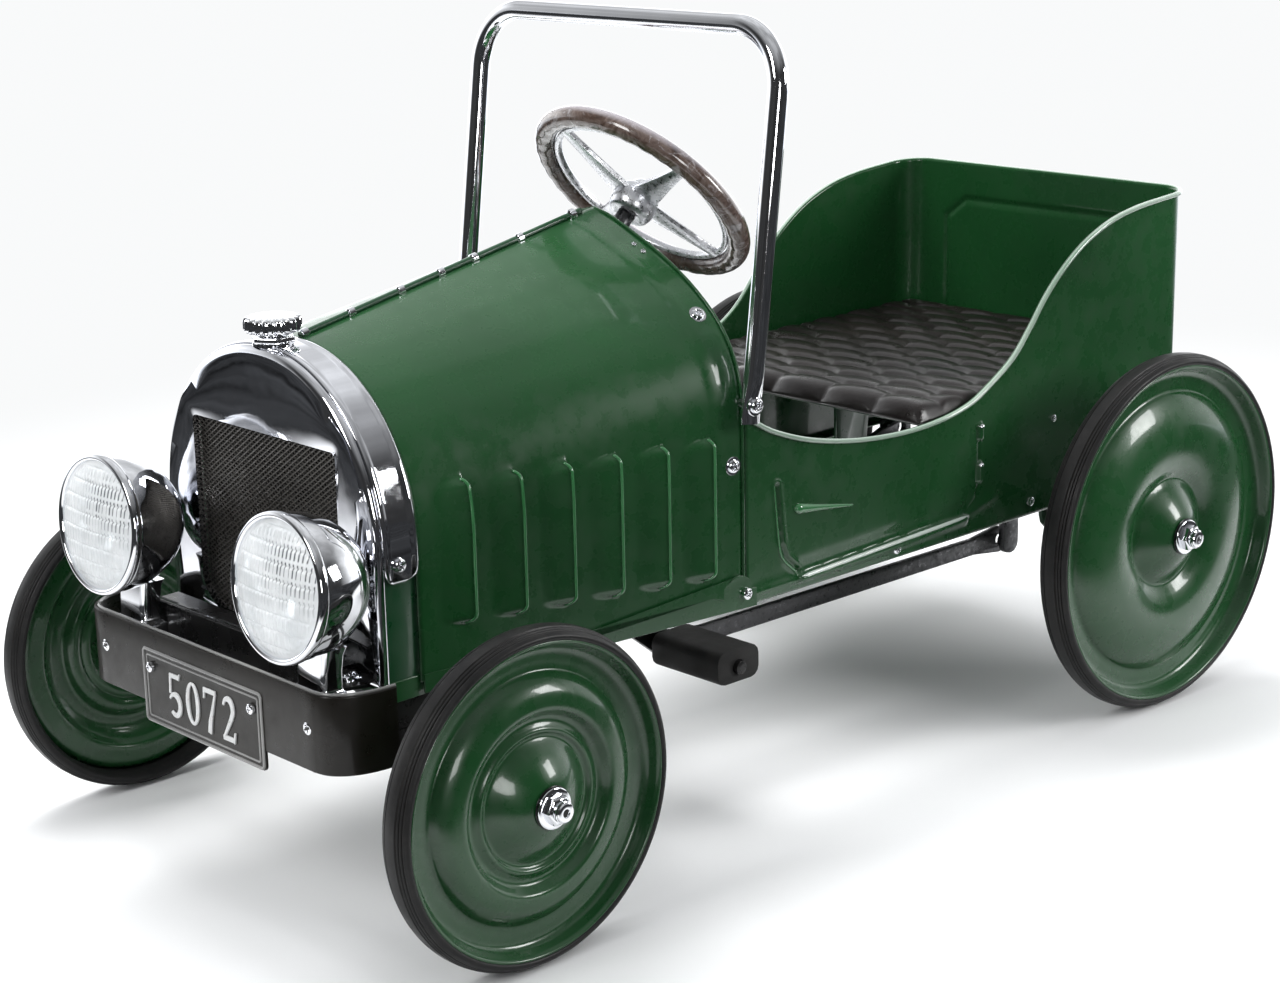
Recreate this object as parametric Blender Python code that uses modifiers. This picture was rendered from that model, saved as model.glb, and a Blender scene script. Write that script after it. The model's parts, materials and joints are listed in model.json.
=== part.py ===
"""Child's pedal car in a 1930s roadster style: stamped steel body, lift-off looking hood with
louvres, chrome radiator shell, solid rubber tyres, rod-and-crank pedal drive on the rear axle,
parallelogram steering on kingpins.

Modelling frame: x forward from the rear axle, y to the car's left, z up from the ground, metres.
The empty "car_origin" then moves everything so that the origin is the middle of the footprint.
"""
import math

import bmesh
import bpy
from mathutils import Matrix, Vector

# ------------------------------------------------------------------ driving dimensions
SHIFT_X = 0.2885           # rear axle to the middle of the overall length
WHEELBASE = 0.603
R_FRONT, R_REAR = 0.1015, 0.1275   # tyre outer radii (8 in and 10 in wheels)
TYRE_W = 0.0202
Y_FRONT, Y_REAR = 0.2116, 0.2047   # outer face planes of the tyres
BODY_Y = 0.1325            # outer half width of the body sides
SHEET = 0.0015             # body sheet
BODY_Z0 = 0.1410           # lower edge of the body
REAR_X = -0.1070           # outer face of the rear panel
REAR_Z = 0.3525            # top of the rear panel
HOOD_X0, HOOD_X1 = 0.3585, 0.6035
HOOD_Z0 = 0.1545           # lower edge of the hood
HOOD_T = 0.0012
RAD_W, RAD_TOP, RAD_Z = 0.1075, 0.3385, 0.2250   # radiator arch: half width, top, spring line
RAD_FRONT = 0.6320
LAMP = (0.6920, 0.0937, 0.2231)    # centre of the lens plane, left side
LAMP_TILT = math.radians(6.0)
BUMPER_X, BUMPER_Z = 0.6840, (0.1150, 0.1630)
WHEEL_C = (0.3163, 0.0, 0.3900)    # steering wheel centre
COLUMN_DEG = 42.6          # column above the horizontal
RIM_R, RIM_TUBE = 0.0746, 0.0073
KINGPIN_Y = 0.1700
ARM = 0.0450               # steering arm, kingpin to tie rod pin
CRANK = 0.0350             # crank radius
PEDAL_PIVOT = (0.4050, 0.2700)     # x, z
PEDAL_PIN = (0.3450, 0.0935)       # x, z at mid stroke
ROD_Y = (0.0460, 0.0510)
SCREEN_Y, SCREEN_R = 0.1400, 0.0065
SCREEN_TOP, SCREEN_FOOT = 0.5053, 0.2640
GAP = 0.0004

# ------------------------------------------------------------------ scene and helpers
for o in list(bpy.data.objects):
    bpy.data.objects.remove(o, do_unlink=True)

CAR = bpy.data.collections.new("pedal_car")
CUT = bpy.data.collections.new("cutters")
bpy.context.scene.collection.children.link(CAR)
bpy.context.scene.collection.children.link(CUT)


def material(name, rgb, rough, metal=0.0, alpha=1.0):
    m = bpy.data.materials.new(name)
    m.use_nodes = True
    p = m.node_tree.nodes["Principled BSDF"]
    p.inputs["Base Color"].default_value = (*rgb, 1.0)
    p.inputs["Roughness"].default_value = rough
    p.inputs["Metallic"].default_value = metal
    p.inputs["Alpha"].default_value = alpha
    return m


GREEN = material("green_enamel", (0.013, 0.085, 0.028), 0.18)
CHROME = material("chrome", (0.80, 0.80, 0.82), 0.08, 1.0)
BLACK = material("black_enamel", (0.010, 0.010, 0.011), 0.25)
RUBBER = material("black_rubber", (0.012, 0.012, 0.012), 0.65)
VINYL = material("black_vinyl", (0.016, 0.013, 0.013), 0.35)
GLASS = material("lamp_glass", (0.90, 0.93, 0.95), 0.05, 0.0, 0.35)
MESH = material("grille_steel", (0.020, 0.020, 0.022), 0.45, 0.6)
ZINC = material("zinc_steel", (0.45, 0.45, 0.46), 0.35, 1.0)
ALLOY = material("cast_alloy", (0.62, 0.63, 0.66), 0.35, 1.0)
MARBLE = material("marbled_rim", (0.16, 0.11, 0.09), 0.25)
NYLON = material("nylon_bush", (0.75, 0.74, 0.70), 0.45)




ORIGIN = bpy.data.objects.new("car_origin", None)
CAR.objects.link(ORIGIN)
ORIGIN.location = (-SHIFT_X, 0.0, 0.0)
ORIGIN["model"] = [0.0, 0.0, 0.0]


def axis_empty(name, at):
    e = bpy.data.objects.new(name, None)
    e.empty_display_size = 0.02
    CAR.objects.link(e)
    e.parent = ORIGIN
    e.location = Vector(at)
    e["model"] = list(at)
    return e


def place(obj, at, mat, parent=None, rot=None, cutter=False):
    parent = parent or ORIGIN
    obj.parent = parent
    obj.location = Vector(at) - Vector(parent["model"][:])
    if rot is not None:
        obj.rotation_mode = "QUATERNION"
        obj.rotation_quaternion = rot
    obj.data.materials.clear()
    obj.data.materials.append(mat)
    (CUT if cutter else CAR).objects.link(obj)
    if cutter:
        obj.hide_render = True
        obj.display_type = "WIRE"
    return obj


def to_mesh(bm, name):
    me = bpy.data.meshes.new(name)
    bm.normal_update()
    bm.to_mesh(me)
    bm.free()
    return me


def box(name, lo, hi, mat, parent=None, bevel=0.0, cutter=False, rot=None):
    lo, hi = Vector(lo), Vector(hi)
    bm = bmesh.new()
    bmesh.ops.create_cube(bm, size=1.0)
    bmesh.ops.scale(bm, vec=hi - lo, verts=bm.verts)
    o = bpy.data.objects.new(name, to_mesh(bm, name))
    place(o, (lo + hi) / 2, mat, parent, rot, cutter)
    if bevel:
        b = o.modifiers.new("edges", "BEVEL")
        b.width, b.segments, b.limit_method = bevel, 1, "ANGLE"
    return o


def toward(direction):
    return Vector((0, 0, 1)).rotation_difference(Vector(direction).normalized())


def rod(name, p0, p1, r, mat, parent=None, seg=12, cutter=False, r1=None):
    p0, p1 = Vector(p0), Vector(p1)
    bm = bmesh.new()
    bmesh.ops.create_cone(bm, cap_ends=True, segments=seg, radius1=r, radius2=r if r1 is None else r1, depth=(p1 - p0).length)
    o = bpy.data.objects.new(name, to_mesh(bm, name))
    o.data.shade_smooth()
    o.data.set_sharp_from_angle(angle=math.radians(40))
    return place(o, (p0 + p1) / 2, mat, parent, toward(p1 - p0), cutter)


def turned(name, profile, at, direction, mat, parent=None, seg=32, closed=True, cutter=False):
    """Profile of (radius, height) points; at the outer side it runs from the top down."""
    me = bpy.data.meshes.new(name)
    n = len(profile)
    edges = [(i, i + 1) for i in range(n - 1)] + ([(n - 1, 0)] if closed else [])
    me.from_pydata([(r, 0.0, h) for r, h in profile], edges, [])
    o = bpy.data.objects.new(name, me)
    s = o.modifiers.new("turn", "SCREW")
    s.axis, s.angle, s.screw_offset = "Z", math.tau, 0.0
    s.steps = s.render_steps = seg
    s.use_merge_vertices, s.merge_threshold = True, 0.00001
    s.use_smooth_shade = True
    return place(o, at, mat, parent, toward(direction), cutter)


def curve_of(name, pts, radius, cyclic=False, res=3):
    cu = bpy.data.curves.new(name, "CURVE")
    cu.dimensions = "3D"
    cu.bevel_depth, cu.bevel_resolution, cu.use_fill_caps = radius, res, True
    sp = cu.splines.new("POLY")
    sp.points.add(len(pts) - 1)
    for p, q in zip(sp.points, pts):
        p.co = (*q, 1.0)
    sp.use_cyclic_u = cyclic
    sp.use_smooth = True
    return bpy.data.objects.new(name, cu)


def tube(name, pts, radius, mat, parent=None, cyclic=False, res=3):
    """A bent round bar. Points are in the modelling frame."""
    at = Vector(pts[0])
    o = curve_of(name, [Vector(p) - at for p in pts], radius, cyclic, res)
    return place(o, at, mat, parent)


def outline_curve(name, pts, half, holes=()):
    cu = bpy.data.curves.new(name, "CURVE")
    cu.dimensions, cu.fill_mode, cu.extrude = "2D", "BOTH", half
    for loop in (pts, *holes):
        sp = cu.splines.new("POLY")
        sp.points.add(len(loop) - 1)
        for p, q in zip(sp.points, loop):
            p.co = (q[0], q[1], 0.0, 1.0)
        sp.use_cyclic_u = True
    return bpy.data.objects.new(name, cu)


def as_mesh(obj, name):
    """The evaluated mesh of a curve object, welded, so that it can take a Boolean."""
    bpy.context.scene.collection.objects.link(obj)
    bpy.context.view_layer.update()
    graph = bpy.context.evaluated_depsgraph_get()
    me = bpy.data.meshes.new_from_object(obj.evaluated_get(graph))
    bm = bmesh.new()
    bm.from_mesh(me)
    bmesh.ops.remove_doubles(bm, verts=bm.verts, dist=1e-6)
    bmesh.ops.recalc_face_normals(bm, faces=bm.faces)
    bm.to_mesh(me)
    bm.free()
    me.name = name
    new = bpy.data.objects.new(name, me)
    bpy.data.objects.remove(obj, do_unlink=True)
    return new


# local x -> +Y, local y -> +Z, local z -> +X
FACE_X = Matrix(((0, 0, 1), (1, 0, 0), (0, 1, 0))).to_quaternion()
# local x -> +X, local y -> +Z, local z -> -Y
FACE_Y = Matrix(((1, 0, 0), (0, 0, -1), (0, 1, 0))).to_quaternion()


def prism_x(name, pts, x0, x1, mat, parent=None, cutter=False, holes=()):
    """A flat outline of (y, z) points, thick from x0 to x1."""
    o = as_mesh(outline_curve(name + "_outline", pts, (x1 - x0) / 2, holes), name)
    return place(o, ((x0 + x1) / 2, 0, 0), mat, parent, FACE_X, cutter)


def prism_y(name, pts, y0, y1, mat, parent=None, cutter=False, holes=()):
    """A flat outline of (x, z) points, thick from y0 to y1. Its origin is at the modelling origin's x and z."""
    o = as_mesh(outline_curve(name + "_outline", pts, abs(y1 - y0) / 2, holes), name)
    return place(o, (0, (y0 + y1) / 2, 0), mat, parent, FACE_Y, cutter)


def boolean(obj, other, op):
    b = obj.modifiers.new(op.lower() + "_" + other.name, "BOOLEAN")
    b.operation, b.object, b.solver = op, other, "EXACT"


def cut(obj, *others):
    for o in others:
        boolean(obj, o, "DIFFERENCE")


def join(obj, *others):
    for o in others:
        boolean(obj, o, "UNION")


def lerp(a, b, t):
    return a + (b - a) * t


def circle(cx, cz, r, n=20, start=0.0):
    return [(cx + r * math.cos(start + math.tau * i / n), cz + r * math.sin(start + math.tau * i / n)) for i in range(n)]


def rounded(pts, radii, n=4):
    """The closed outline with each corner replaced by an arc of its radius."""
    out = []
    m = len(pts)
    for i in range(m):
        p, a, b = Vector(pts[i]), Vector(pts[i - 1]), Vector(pts[(i + 1) % m])
        r = radii[i] if isinstance(radii, (list, tuple)) else radii
        if r <= 0:
            out.append(tuple(p))
            continue
        u, v = (a - p).normalized(), (b - p).normalized()
        half = math.acos(max(-1, min(1, u.dot(v)))) / 2
        d = r / math.tan(half)
        c = p + (u + v).normalized() * (r / math.sin(half))
        s, e = p + u * d - c, p + v * d - c
        turn = s.angle_signed(e)
        for k in range(n + 1):
            w = s.copy()
            w.rotate(Matrix.Rotation(-turn * k / n, 2))
            out.append(tuple(c + w))
    return out


def arch(w, top, z0, zb, n=2.1, steps=18):
    """Arch outline of (y, z): straight legs down to zb, superellipse above the spring line z0."""
    pts = [(w, zb)]
    for i in range(steps + 1):
        t = math.pi * i / steps
        c, s = math.cos(t), math.sin(t)
        pts.append((w * math.copysign(abs(c) ** (2 / n), c), z0 + (top - z0) * abs(s) ** (2 / n)))
    return pts + [(-w, zb)]


def sheet(name, columns, mat, parent=None, t=SHEET, offset=-1.0):
    """Open surface through columns, each a list of points from the bottom up, thickened by Solidify."""
    bm = bmesh.new()
    grid = [[bm.verts.new(p) for p in col] for col in columns]
    for a, b in zip(grid, grid[1:]):
        for i in range(len(a) - 1):
            bm.faces.new((a[i], b[i], b[i + 1], a[i + 1]))
    o = bpy.data.objects.new(name, to_mesh(bm, name))
    o.data.shade_smooth()
    o.data.set_sharp_from_angle(angle=math.radians(30))
    place(o, (0, 0, 0), mat, parent)
    s = o.modifiers.new("gauge", "SOLIDIFY")
    s.thickness, s.offset, s.use_even_offset = t, offset, True
    return o


# ------------------------------------------------------------------ body tub
# Rim of the side, from the screen foot back to the rear panel: x and z stations.
RIM = [(0.3570, 0.2680), (0.3470, 0.2620), (0.3300, 0.2530), (0.3020, 0.2430), (0.2706, 0.2358), (0.2380, 0.2312),
       (0.2015, 0.2292), (0.1675, 0.2310), (0.1406, 0.2360), (0.1210, 0.2445), (0.0940, 0.2606), (0.0745, 0.2805),
       (0.0590, 0.2985), (0.0390, 0.3160), (0.0150, 0.3310), (-0.0140, 0.3420), (-0.0440, 0.3475), (-0.0750, 0.3500),
       (-0.0990, 0.3515)]


def hood_half_width(x):
    return lerp(BODY_Y - 0.0005, RAD_W, (x - HOOD_X0) / (HOOD_X1 - HOOD_X0))


def side_columns():
    cols = []
    for x in (0.6020, 0.5400, 0.4780, 0.4200, 0.3572):
        y = hood_half_width(x) + 0.0005
        cols.append((x, y, 0.1535))
    cols += [(x, BODY_Y, z) for x, z in RIM]
    r = BODY_Y - 0.1245
    for k in range(1, 5):
        a = math.pi / 2 * k / 4
        cols.append((REAR_X + r - r * math.sin(a), BODY_Y - r + r * math.cos(a), REAR_Z))
    return cols


left = side_columns()
whole = left + [(x, -y, z) for x, y, z in reversed(left)]
cols = [[(x, y, BODY_Z0), (x, y, lerp(BODY_Z0, z, 0.5)), (x, y, z)] for x, y, z in whole]
body = sheet("body_tub", cols, GREEN)

# seat pan and the cushion on it
pan = box("seat_pan", (-0.1015, -0.1280, 0.2243), (0.1750, 0.1280, 0.2268), BLACK, bevel=0.0006)
cushion = box("seat_cushion", (-0.1000, -0.1280, 0.2273), (0.1850, 0.1280, 0.2440), VINYL, bevel=0.004)
cushion.modifiers["edges"].segments = 2

# ------------------------------------------------------------------ hood
REAR_HALF = [(0.1320, HOOD_Z0), (0.1320, 0.2000), (0.1320, 0.2600), (0.1308, 0.2860), (0.1240, 0.3070), (0.1110, 0.3260),
             (0.0930, 0.3420), (0.0750, 0.3540), (0.0570, 0.3635), (0.0390, 0.3715), (0.0200, 0.3795), (0.0, 0.3870)]


def resample(pts, n):
    v = [Vector(p) for p in pts]
    run = [0.0]
    for a, b in zip(v, v[1:]):
        run.append(run[-1] + (b - a).length)
    out = []
    for k in range(n):
        s = run[-1] * k / (n - 1)
        i = max(j for j in range(len(run) - 1) if run[j] <= s + 1e-12)
        out.append(v[i].lerp(v[i + 1], (s - run[i]) / (run[i + 1] - run[i])))
    return out


HALF_N = 15
front_half = resample(arch(RAD_W, RAD_TOP, RAD_Z, HOOD_Z0, steps=60)[:32], HALF_N)
rear_half = resample(REAR_HALF, HALF_N)


def hood_section(x):
    t = (x - HOOD_X0) / (HOOD_X1 - HOOD_X0)
    half = [r.lerp(f, t) for r, f in zip(rear_half, front_half)]
    return [(x, p[0], p[1]) for p in half] + [(x, -p[0], p[1]) for p in reversed(half[:-1])]


hood = sheet("hood", [hood_section(lerp(HOOD_X1, HOOD_X0, k / 6)) for k in range(7)], GREEN, t=HOOD_T)
# louvres: tapered scoops open to the rear, six a side
for s, side in ((1, "L"), (-1, "R")):
    bm = bmesh.new()
    taper = math.atan((BODY_Y - RAD_W) / (HOOD_X1 - HOOD_X0))
    for k in range(6):
        x = 0.5660 - 0.0362 * k
        zb, zt = lerp(0.1775, 0.1660, k / 5), lerp(0.2645, 0.2575, k / 5)
        y0 = hood_half_width(x) - 0.0009
        pts = [(0, 0), (0, 0.0048), (0.004, 0.0045), (0.021, 0.0)]
        lower = [bm.verts.new((x + px * math.cos(taper) , s * (y0 + py - px * math.sin(taper)), zb + (0.004 if py > 0 else 0))) for px, py in pts]
        upper = [bm.verts.new((x + px * math.cos(taper), s * (y0 + py - px * math.sin(taper)), zt - (0.004 if py > 0 else 0))) for px, py in pts]
        for i in range(4):
            j = (i + 1) % 4
            bm.faces.new((lower[i], lower[j], upper[j], upper[i]))
        bm.faces.new(lower)
        bm.faces.new(upper)
    bmesh.ops.recalc_face_normals(bm, faces=bm.faces)
    join(hood, place(bpy.data.objects.new("louvres_" + side, to_mesh(bm, "louvres")), (0, 0, 0), GREEN, cutter=True))

ridge_slope = math.atan((0.3870 - RAD_TOP) / (HOOD_X1 - HOOD_X0))
tube("hood_hinge_moulding", [(lerp(HOOD_X0 + 0.012, HOOD_X1 - 0.004, k / 4), 0, lerp(0.3870, RAD_TOP, (lerp(HOOD_X0 + 0.012, HOOD_X1 - 0.004, k / 4) - HOOD_X0) / (HOOD_X1 - HOOD_X0)) + 0.0029) for k in range(5)], 0.0024, GREEN, res=2)

# dash panel that closes the back of the hood above the knees
dash_half = [(p[0] - (0.0040 if p[0] > 0.004 else 0.0), p[1] - 0.0042) for p in rear_half if p[1] > 0.312]
dash = prism_x("dash_panel", [(dash_half[0][0], 0.3120)] + dash_half + [(-a, b) for a, b in reversed(dash_half[:-1])] + [(-dash_half[0][0], 0.3120)], 0.3600, 0.3615, GREEN)
col_slope = math.tan(math.radians(COLUMN_DEG))
cut(dash, rod("dash_hole", (0.35, 0, 0.390 - (0.3608 - WHEEL_C[0]) * col_slope), (0.37, 0, 0.390 - (0.3608 - WHEEL_C[0]) * col_slope), 0.0130, GREEN, seg=20, cutter=True))

# ------------------------------------------------------------------ radiator
shell = prism_x("radiator_shell", arch(RAD_W, RAD_TOP, RAD_Z, 0.1500), HOOD_X1 + 0.001, RAD_FRONT, CHROME)
cut(shell, prism_x("shell_hollow", arch(RAD_W - 0.0016, RAD_TOP - 0.0016, RAD_Z, 0.1400), 0.5900, RAD_FRONT - 0.0016, CHROME, cutter=True))
opening = rounded([(-0.0725, 0.2860), (-0.0725, 0.1650), (0.0725, 0.1650), (0.0725, 0.2860)], [0.004, 0.020, 0.020, 0.004])
cut(shell, prism_x("grille_opening", opening, 0.6250, 0.6400, CHROME, cutter=True))
cut(shell, box("shell_legs", (0.5900, -0.1200, 0.1300), (RAD_FRONT - 0.0026, 0.1200, 0.2270), CHROME, cutter=True))
core = prism_x("radiator_core", arch(RAD_W - 0.0021, RAD_TOP - 0.0021, RAD_Z, 0.1440), 0.5985, RAD_FRONT - 0.0021, GREEN)
cut(core, prism_x("core_hollow", arch(RAD_W - 0.0070, RAD_TOP - 0.0080, RAD_Z, 0.1480), 0.5900, 0.6400, GREEN, cutter=True))
prism_x("grille_mesh", rounded([(-0.0790, 0.2930), (-0.0790, 0.1580), (0.0790, 0.1580), (0.0790, 0.2930)], 0.012, n=3), RAD_FRONT - 0.0034, RAD_FRONT - 0.0021, MESH)
turned("radiator_cap", [(0.0, 0.0165), (0.0186, 0.0145), (0.0195, 0.0120), (0.0195, 0.0060), (0.0105, 0.0040), (0.0105, 0.0), (0.0, 0.0)],
       (0.6190, 0, RAD_TOP + 0.0006), (0, 0, 1), CHROME, seg=16, closed=False)

# ------------------------------------------------------------------ front frame, bumper, plate, lamps
cols = []
for x, y, z0, z1 in ((0.4600, 0.1000, 0.1200, 0.1400), (0.5890, 0.1000, 0.1200, 0.1400), (0.5892, 0.1000, 0.1062, 0.1400), (0.6168, 0.1000, 0.1062, 0.1400), (0.6170, 0.1000, 0.1200, 0.1400),
                      (0.6420, 0.1000, 0.1200, 0.1400), (0.6480, 0.0990, 0.1200, 0.1400), (0.6525, 0.0945, 0.1200, 0.1400), (0.6550, 0.0880, 0.1200, 0.1400), (0.6552, 0.0870, 0.1200, 0.1690)):
    cols.append([(x, y, z0), (x, y, lerp(z0, z1, 0.5)), (x, y, z1)])
cols = cols + [[(x, -y, z) for x, y, z in c] for c in reversed(cols)]
cols.reverse()
sheet("front_frame", cols, BLACK, t=0.0030)

ends = [(0.6440, 0.1345), (0.6560, 0.1340), (0.6680, 0.1310), (0.6770, 0.1255), (0.6820, 0.1190), (0.6840, 0.1110)]
run = ends + [(x, -y) for x, y in reversed(ends)]
sheet("bumper", [[(x, y, BUMPER_Z[0]), (x, y, BUMPER_Z[1])] for x, y in reversed(run)], BLACK, t=0.0020)
plate = box("number_plate", (BUMPER_X + 0.0005, -0.0631, 0.1023), (BUMPER_X + 0.0030, 0.0631, 0.1514), BLACK)

ct, st = math.cos(LAMP_TILT), math.sin(LAMP_TILT)
shell_out = [(0.0428, -0.0030), (0.0426, -0.0130), (0.0395, -0.0265), (0.0310, -0.0410), (0.0190, -0.0500), (0.0, -0.0545)]
shell_in = [(0.0, -0.0529), (0.0178, -0.0485), (0.0296, -0.0398), (0.0380, -0.0260), (0.0411, -0.0130), (0.0413, -0.0030)]
for s, side in ((1, "L"), (-1, "R")):
    at = (LAMP[0], s * LAMP[1], LAMP[2])
    turned("headlamp_shell_" + side, shell_out + shell_in, at, (ct, 0, st), CHROME, seg=20)
    turned("headlamp_bezel_" + side, [(0.0398, 0.0016), (0.0425, 0.0018), (0.0440, 0.0002), (0.0440, -0.0022), (0.0398, -0.0022)], at, (ct, 0, st), CHROME, seg=20)
    turned("headlamp_lens_" + side, [(0.0, 0.0056), (0.0140, 0.0050), (0.0270, 0.0034), (0.0392, 0.0010), (0.0392, -0.0012), (0.0, -0.0012)], at, (ct, 0, st), GLASS, seg=20, closed=False)
    stalk = box("lamp_stalk_" + side, (0.6600, s * LAMP[1] - 0.0140, 0.1420), (0.6740, s * LAMP[1] + 0.0140, 0.1790), CHROME)
    y0, y1 = sorted((s * 0.0760, s * 0.1080))
    join(stalk, box("stalk_foot_" + side, (0.6558, y0, 0.1245), (0.6815, y1, 0.1560), CHROME, cutter=True))

# ------------------------------------------------------------------ windshield
def screen_x(z):
    return 0.3284 + (SCREEN_TOP - z) * 0.1296


pts = [(screen_x(SCREEN_FOOT), SCREEN_Y, SCREEN_FOOT)]
cr = 0.0380
for k in range(7):
    a = math.pi / 2 * k / 6
    z = SCREEN_TOP - cr + cr * math.sin(a)
    pts.append((screen_x(z), SCREEN_Y - cr + cr * math.cos(a), z))
tube("windshield_frame", pts + [(x, -y, z) for x, y, z in reversed(pts)], SCREEN_R, CHROME, res=1)
for s, side in ((1, "L"), (-1, "R")):
    turned("windshield_bolt_" + side, [(0.0, 0.0034), (0.0035, 0.0030), (0.0058, 0.0012), (0.0060, 0.0), (0.0, 0.0)],
           (screen_x(0.2760), s * (SCREEN_Y + SCREEN_R + GAP), 0.2760), (0, s, 0), CHROME, seg=10, closed=False)

# ------------------------------------------------------------------ steering
a = math.radians(COLUMN_DEG)
up = Vector((-math.cos(a), 0, math.sin(a)))        # along the column towards the driver
down = -up
drop = Vector((-math.sin(a), 0, -math.cos(a)))     # across the column, down and back
W = Vector(WHEEL_C)
TIE_X, TIE_Z = WHEELBASE - ARM, 0.0795
# drop arm: length and place along the column that bring its ball above the tie rod
tip_z = 0.0985
arm_len = (W.z - tip_z - math.tan(a) * (TIE_X - W.x)) / (math.sin(a) * math.tan(a) + math.cos(a))
along = (TIE_X - W.x + math.sin(a) * arm_len) / math.cos(a)
steer = axis_empty("steering_axis", W)
end = W + down * along
shaft = rod("steering_shaft", W + down * 0.0200, end + down * 0.0040, 0.0060, ZINC, steer, seg=14)
tip = end + drop * arm_len
join(shaft, rod("drop_arm", end - drop * 0.004, tip, 0.0048, ZINC, steer, seg=10, cutter=True))
bm = bmesh.new()
bmesh.ops.create_uvsphere(bm, u_segments=10, v_segments=6, radius=0.0060)
join(shaft, place(bpy.data.objects.new("drop_ball", to_mesh(bm, "ball")), tip, ZINC, steer, cutter=True))

rim_pts = []
e1, e2 = Vector((0, 1, 0)), Vector((math.sin(a), 0, math.cos(a)))
bpy.ops.mesh.primitive_torus_add(major_radius=RIM_R, minor_radius=RIM_TUBE, major_segments=28, minor_segments=8)
rim = bpy.context.object
for c in list(rim.users_collection):
    c.objects.unlink(rim)
rim.name = "steering_wheel_rim"
rim.data.shade_smooth()
place(rim, W, MARBLE, steer, toward(up))
# spider: dished hub, inner ring and four flared spokes
spider = turned("steering_wheel_spider", [(0.0064, -0.0020), (0.0130, -0.0020), (0.0150, -0.0060), (0.0150, -0.0160), (0.0120, -0.0190), (0.0064, -0.0190)], W, up, ALLOY, steer, seg=14)
ring = turned("spider_ring", [(0.0635, 0.0022), (0.0668, 0.0022), (0.0668, -0.0022), (0.0635, -0.0022)], W, up, ALLOY, steer, seg=24, cutter=True)
join(spider, ring)
# the spokes stand 27 degrees round from square, as the wheel sits on its shaft
set_a = math.radians(-27.0)
s1 = e1 * math.cos(set_a) - e2 * math.sin(set_a)
s2 = e1 * math.sin(set_a) + e2 * math.cos(set_a)
for k, d in enumerate((s1, -s1, s2, -s2)):
    across = up.cross(d)
    bm = bmesh.new()
    v = []
    for dist, w, h in ((0.0105, 0.0085, -0.0065), (0.0400, 0.0062, -0.0035), (0.0650, 0.0048, -0.0004)):
        for sw, sh in ((-1, -1), (1, -1), (1, 1), (-1, 1)):
            v.append(bm.verts.new(d * dist + across * w * sw + up * (h + 0.0014 * sh)))
    for q in (0, 4):
        for i in range(4):
            j = (i + 1) % 4
            bm.faces.new((v[q + i], v[q + j], v[q + 4 + j], v[q + 4 + i]))
    bm.faces.new(v[0:4])
    bm.faces.new(v[8:12])
    bmesh.ops.recalc_face_normals(bm, faces=bm.faces)
    join(spider, place(bpy.data.objects.new("spoke_%d" % k, to_mesh(bm, "spoke")), W, ALLOY, steer, cutter=True))
turned("steering_wheel_nut", [(0.0, 0.0075), (0.0050, 0.0066), (0.0088, 0.0036), (0.0092, -0.0015), (0.0, -0.0015)], W, up, CHROME, steer, seg=16, closed=False)

bx = 0.5600
bz = W.z - (bx + 0.00125 - W.x) * col_slope
bracket = box("column_bracket", (bx, -0.1100, 0.1430), (bx + 0.0025, 0.1100, 0.1530), BLACK)
join(bracket, box("bracket_tab", (bx, -0.0180, 0.1500), (bx + 0.0025, 0.0180, bz + 0.0190), BLACK, cutter=True))
cut(bracket, rod("bracket_hole", (bx - 0.01, 0, bz), (bx + 0.01, 0, bz), 0.0112, BLACK, seg=20, cutter=True))

# ------------------------------------------------------------------ front axle and knuckles
XF, ZF = WHEELBASE, R_FRONT
beam = box("front_axle_beam", (XF - 0.0100, -0.1660, 0.0975), (XF + 0.0100, 0.1660, 0.1055), BLACK)
for s, side in ((1, "L"), (-1, "R")):
    y = s * KINGPIN_Y
    join(beam, rod("beam_boss_" + side, (XF, y, 0.0889), (XF, y, 0.1141), 0.0090, BLACK, seg=14, cutter=True))
for s, side in ((1, "L"), (-1, "R")):
    y = s * KINGPIN_Y
    cut(beam, rod("beam_bore_" + side, (XF, y, 0.0700), (XF, y, 0.1300), 0.0046, BLACK, seg=12, cutter=True))
    turned("kingpin_" + side, [(0.0, 0.0215), (0.0045, 0.0209), (0.0075, 0.0190), (0.0075, 0.0159), (0.0042, 0.0159), (0.0042, -0.0158), (0.0070, -0.0158), (0.0070, -0.0200), (0.0, -0.0200)],
           (XF, y, ZF), (0, 0, 1), ZINC, seg=12, closed=False)
    king = axis_empty("kingpin_axis_" + side, (XF, y, ZF))
    knuckle = box("steering_knuckle_" + side, (XF - 0.0110, min(s * 0.1810, s * 0.1840), 0.0860), (XF + 0.0110, max(s * 0.1810, s * 0.1840), 0.1170), BLACK, king)
    lo, hi = sorted((s * 0.1590, s * 0.1820))
    join(knuckle, box("ear_top_" + side, (XF - 0.0110, lo, 0.1145), (XF + 0.0110, hi, 0.1170), BLACK, king, cutter=True))
    join(knuckle, box("ear_low_" + side, (XF - 0.0110, lo, 0.0860), (XF + 0.0110, hi, 0.0885), BLACK, king, cutter=True))
    join(knuckle, box("arm_" + side, (TIE_X - 0.0070, y - 0.0065, 0.0860), (XF - 0.0050, y + 0.0065, 0.0885), BLACK, king, cutter=True))
    join(knuckle, rod("stub_" + side, (XF, s * 0.1825, ZF), (XF, s * (Y_FRONT + 0.0202), ZF), 0.0050, BLACK, king, seg=16, cutter=True))
    cut(knuckle, rod("knuckle_bore_" + side, (XF, y, 0.0700), (XF, y, 0.1300), 0.0046, BLACK, king, seg=12, cutter=True))
    cut(knuckle, rod("arm_bore_" + side, (TIE_X, y, 0.0700), (TIE_X, y, 0.1000), 0.0036, BLACK, king, seg=12, cutter=True))

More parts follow.
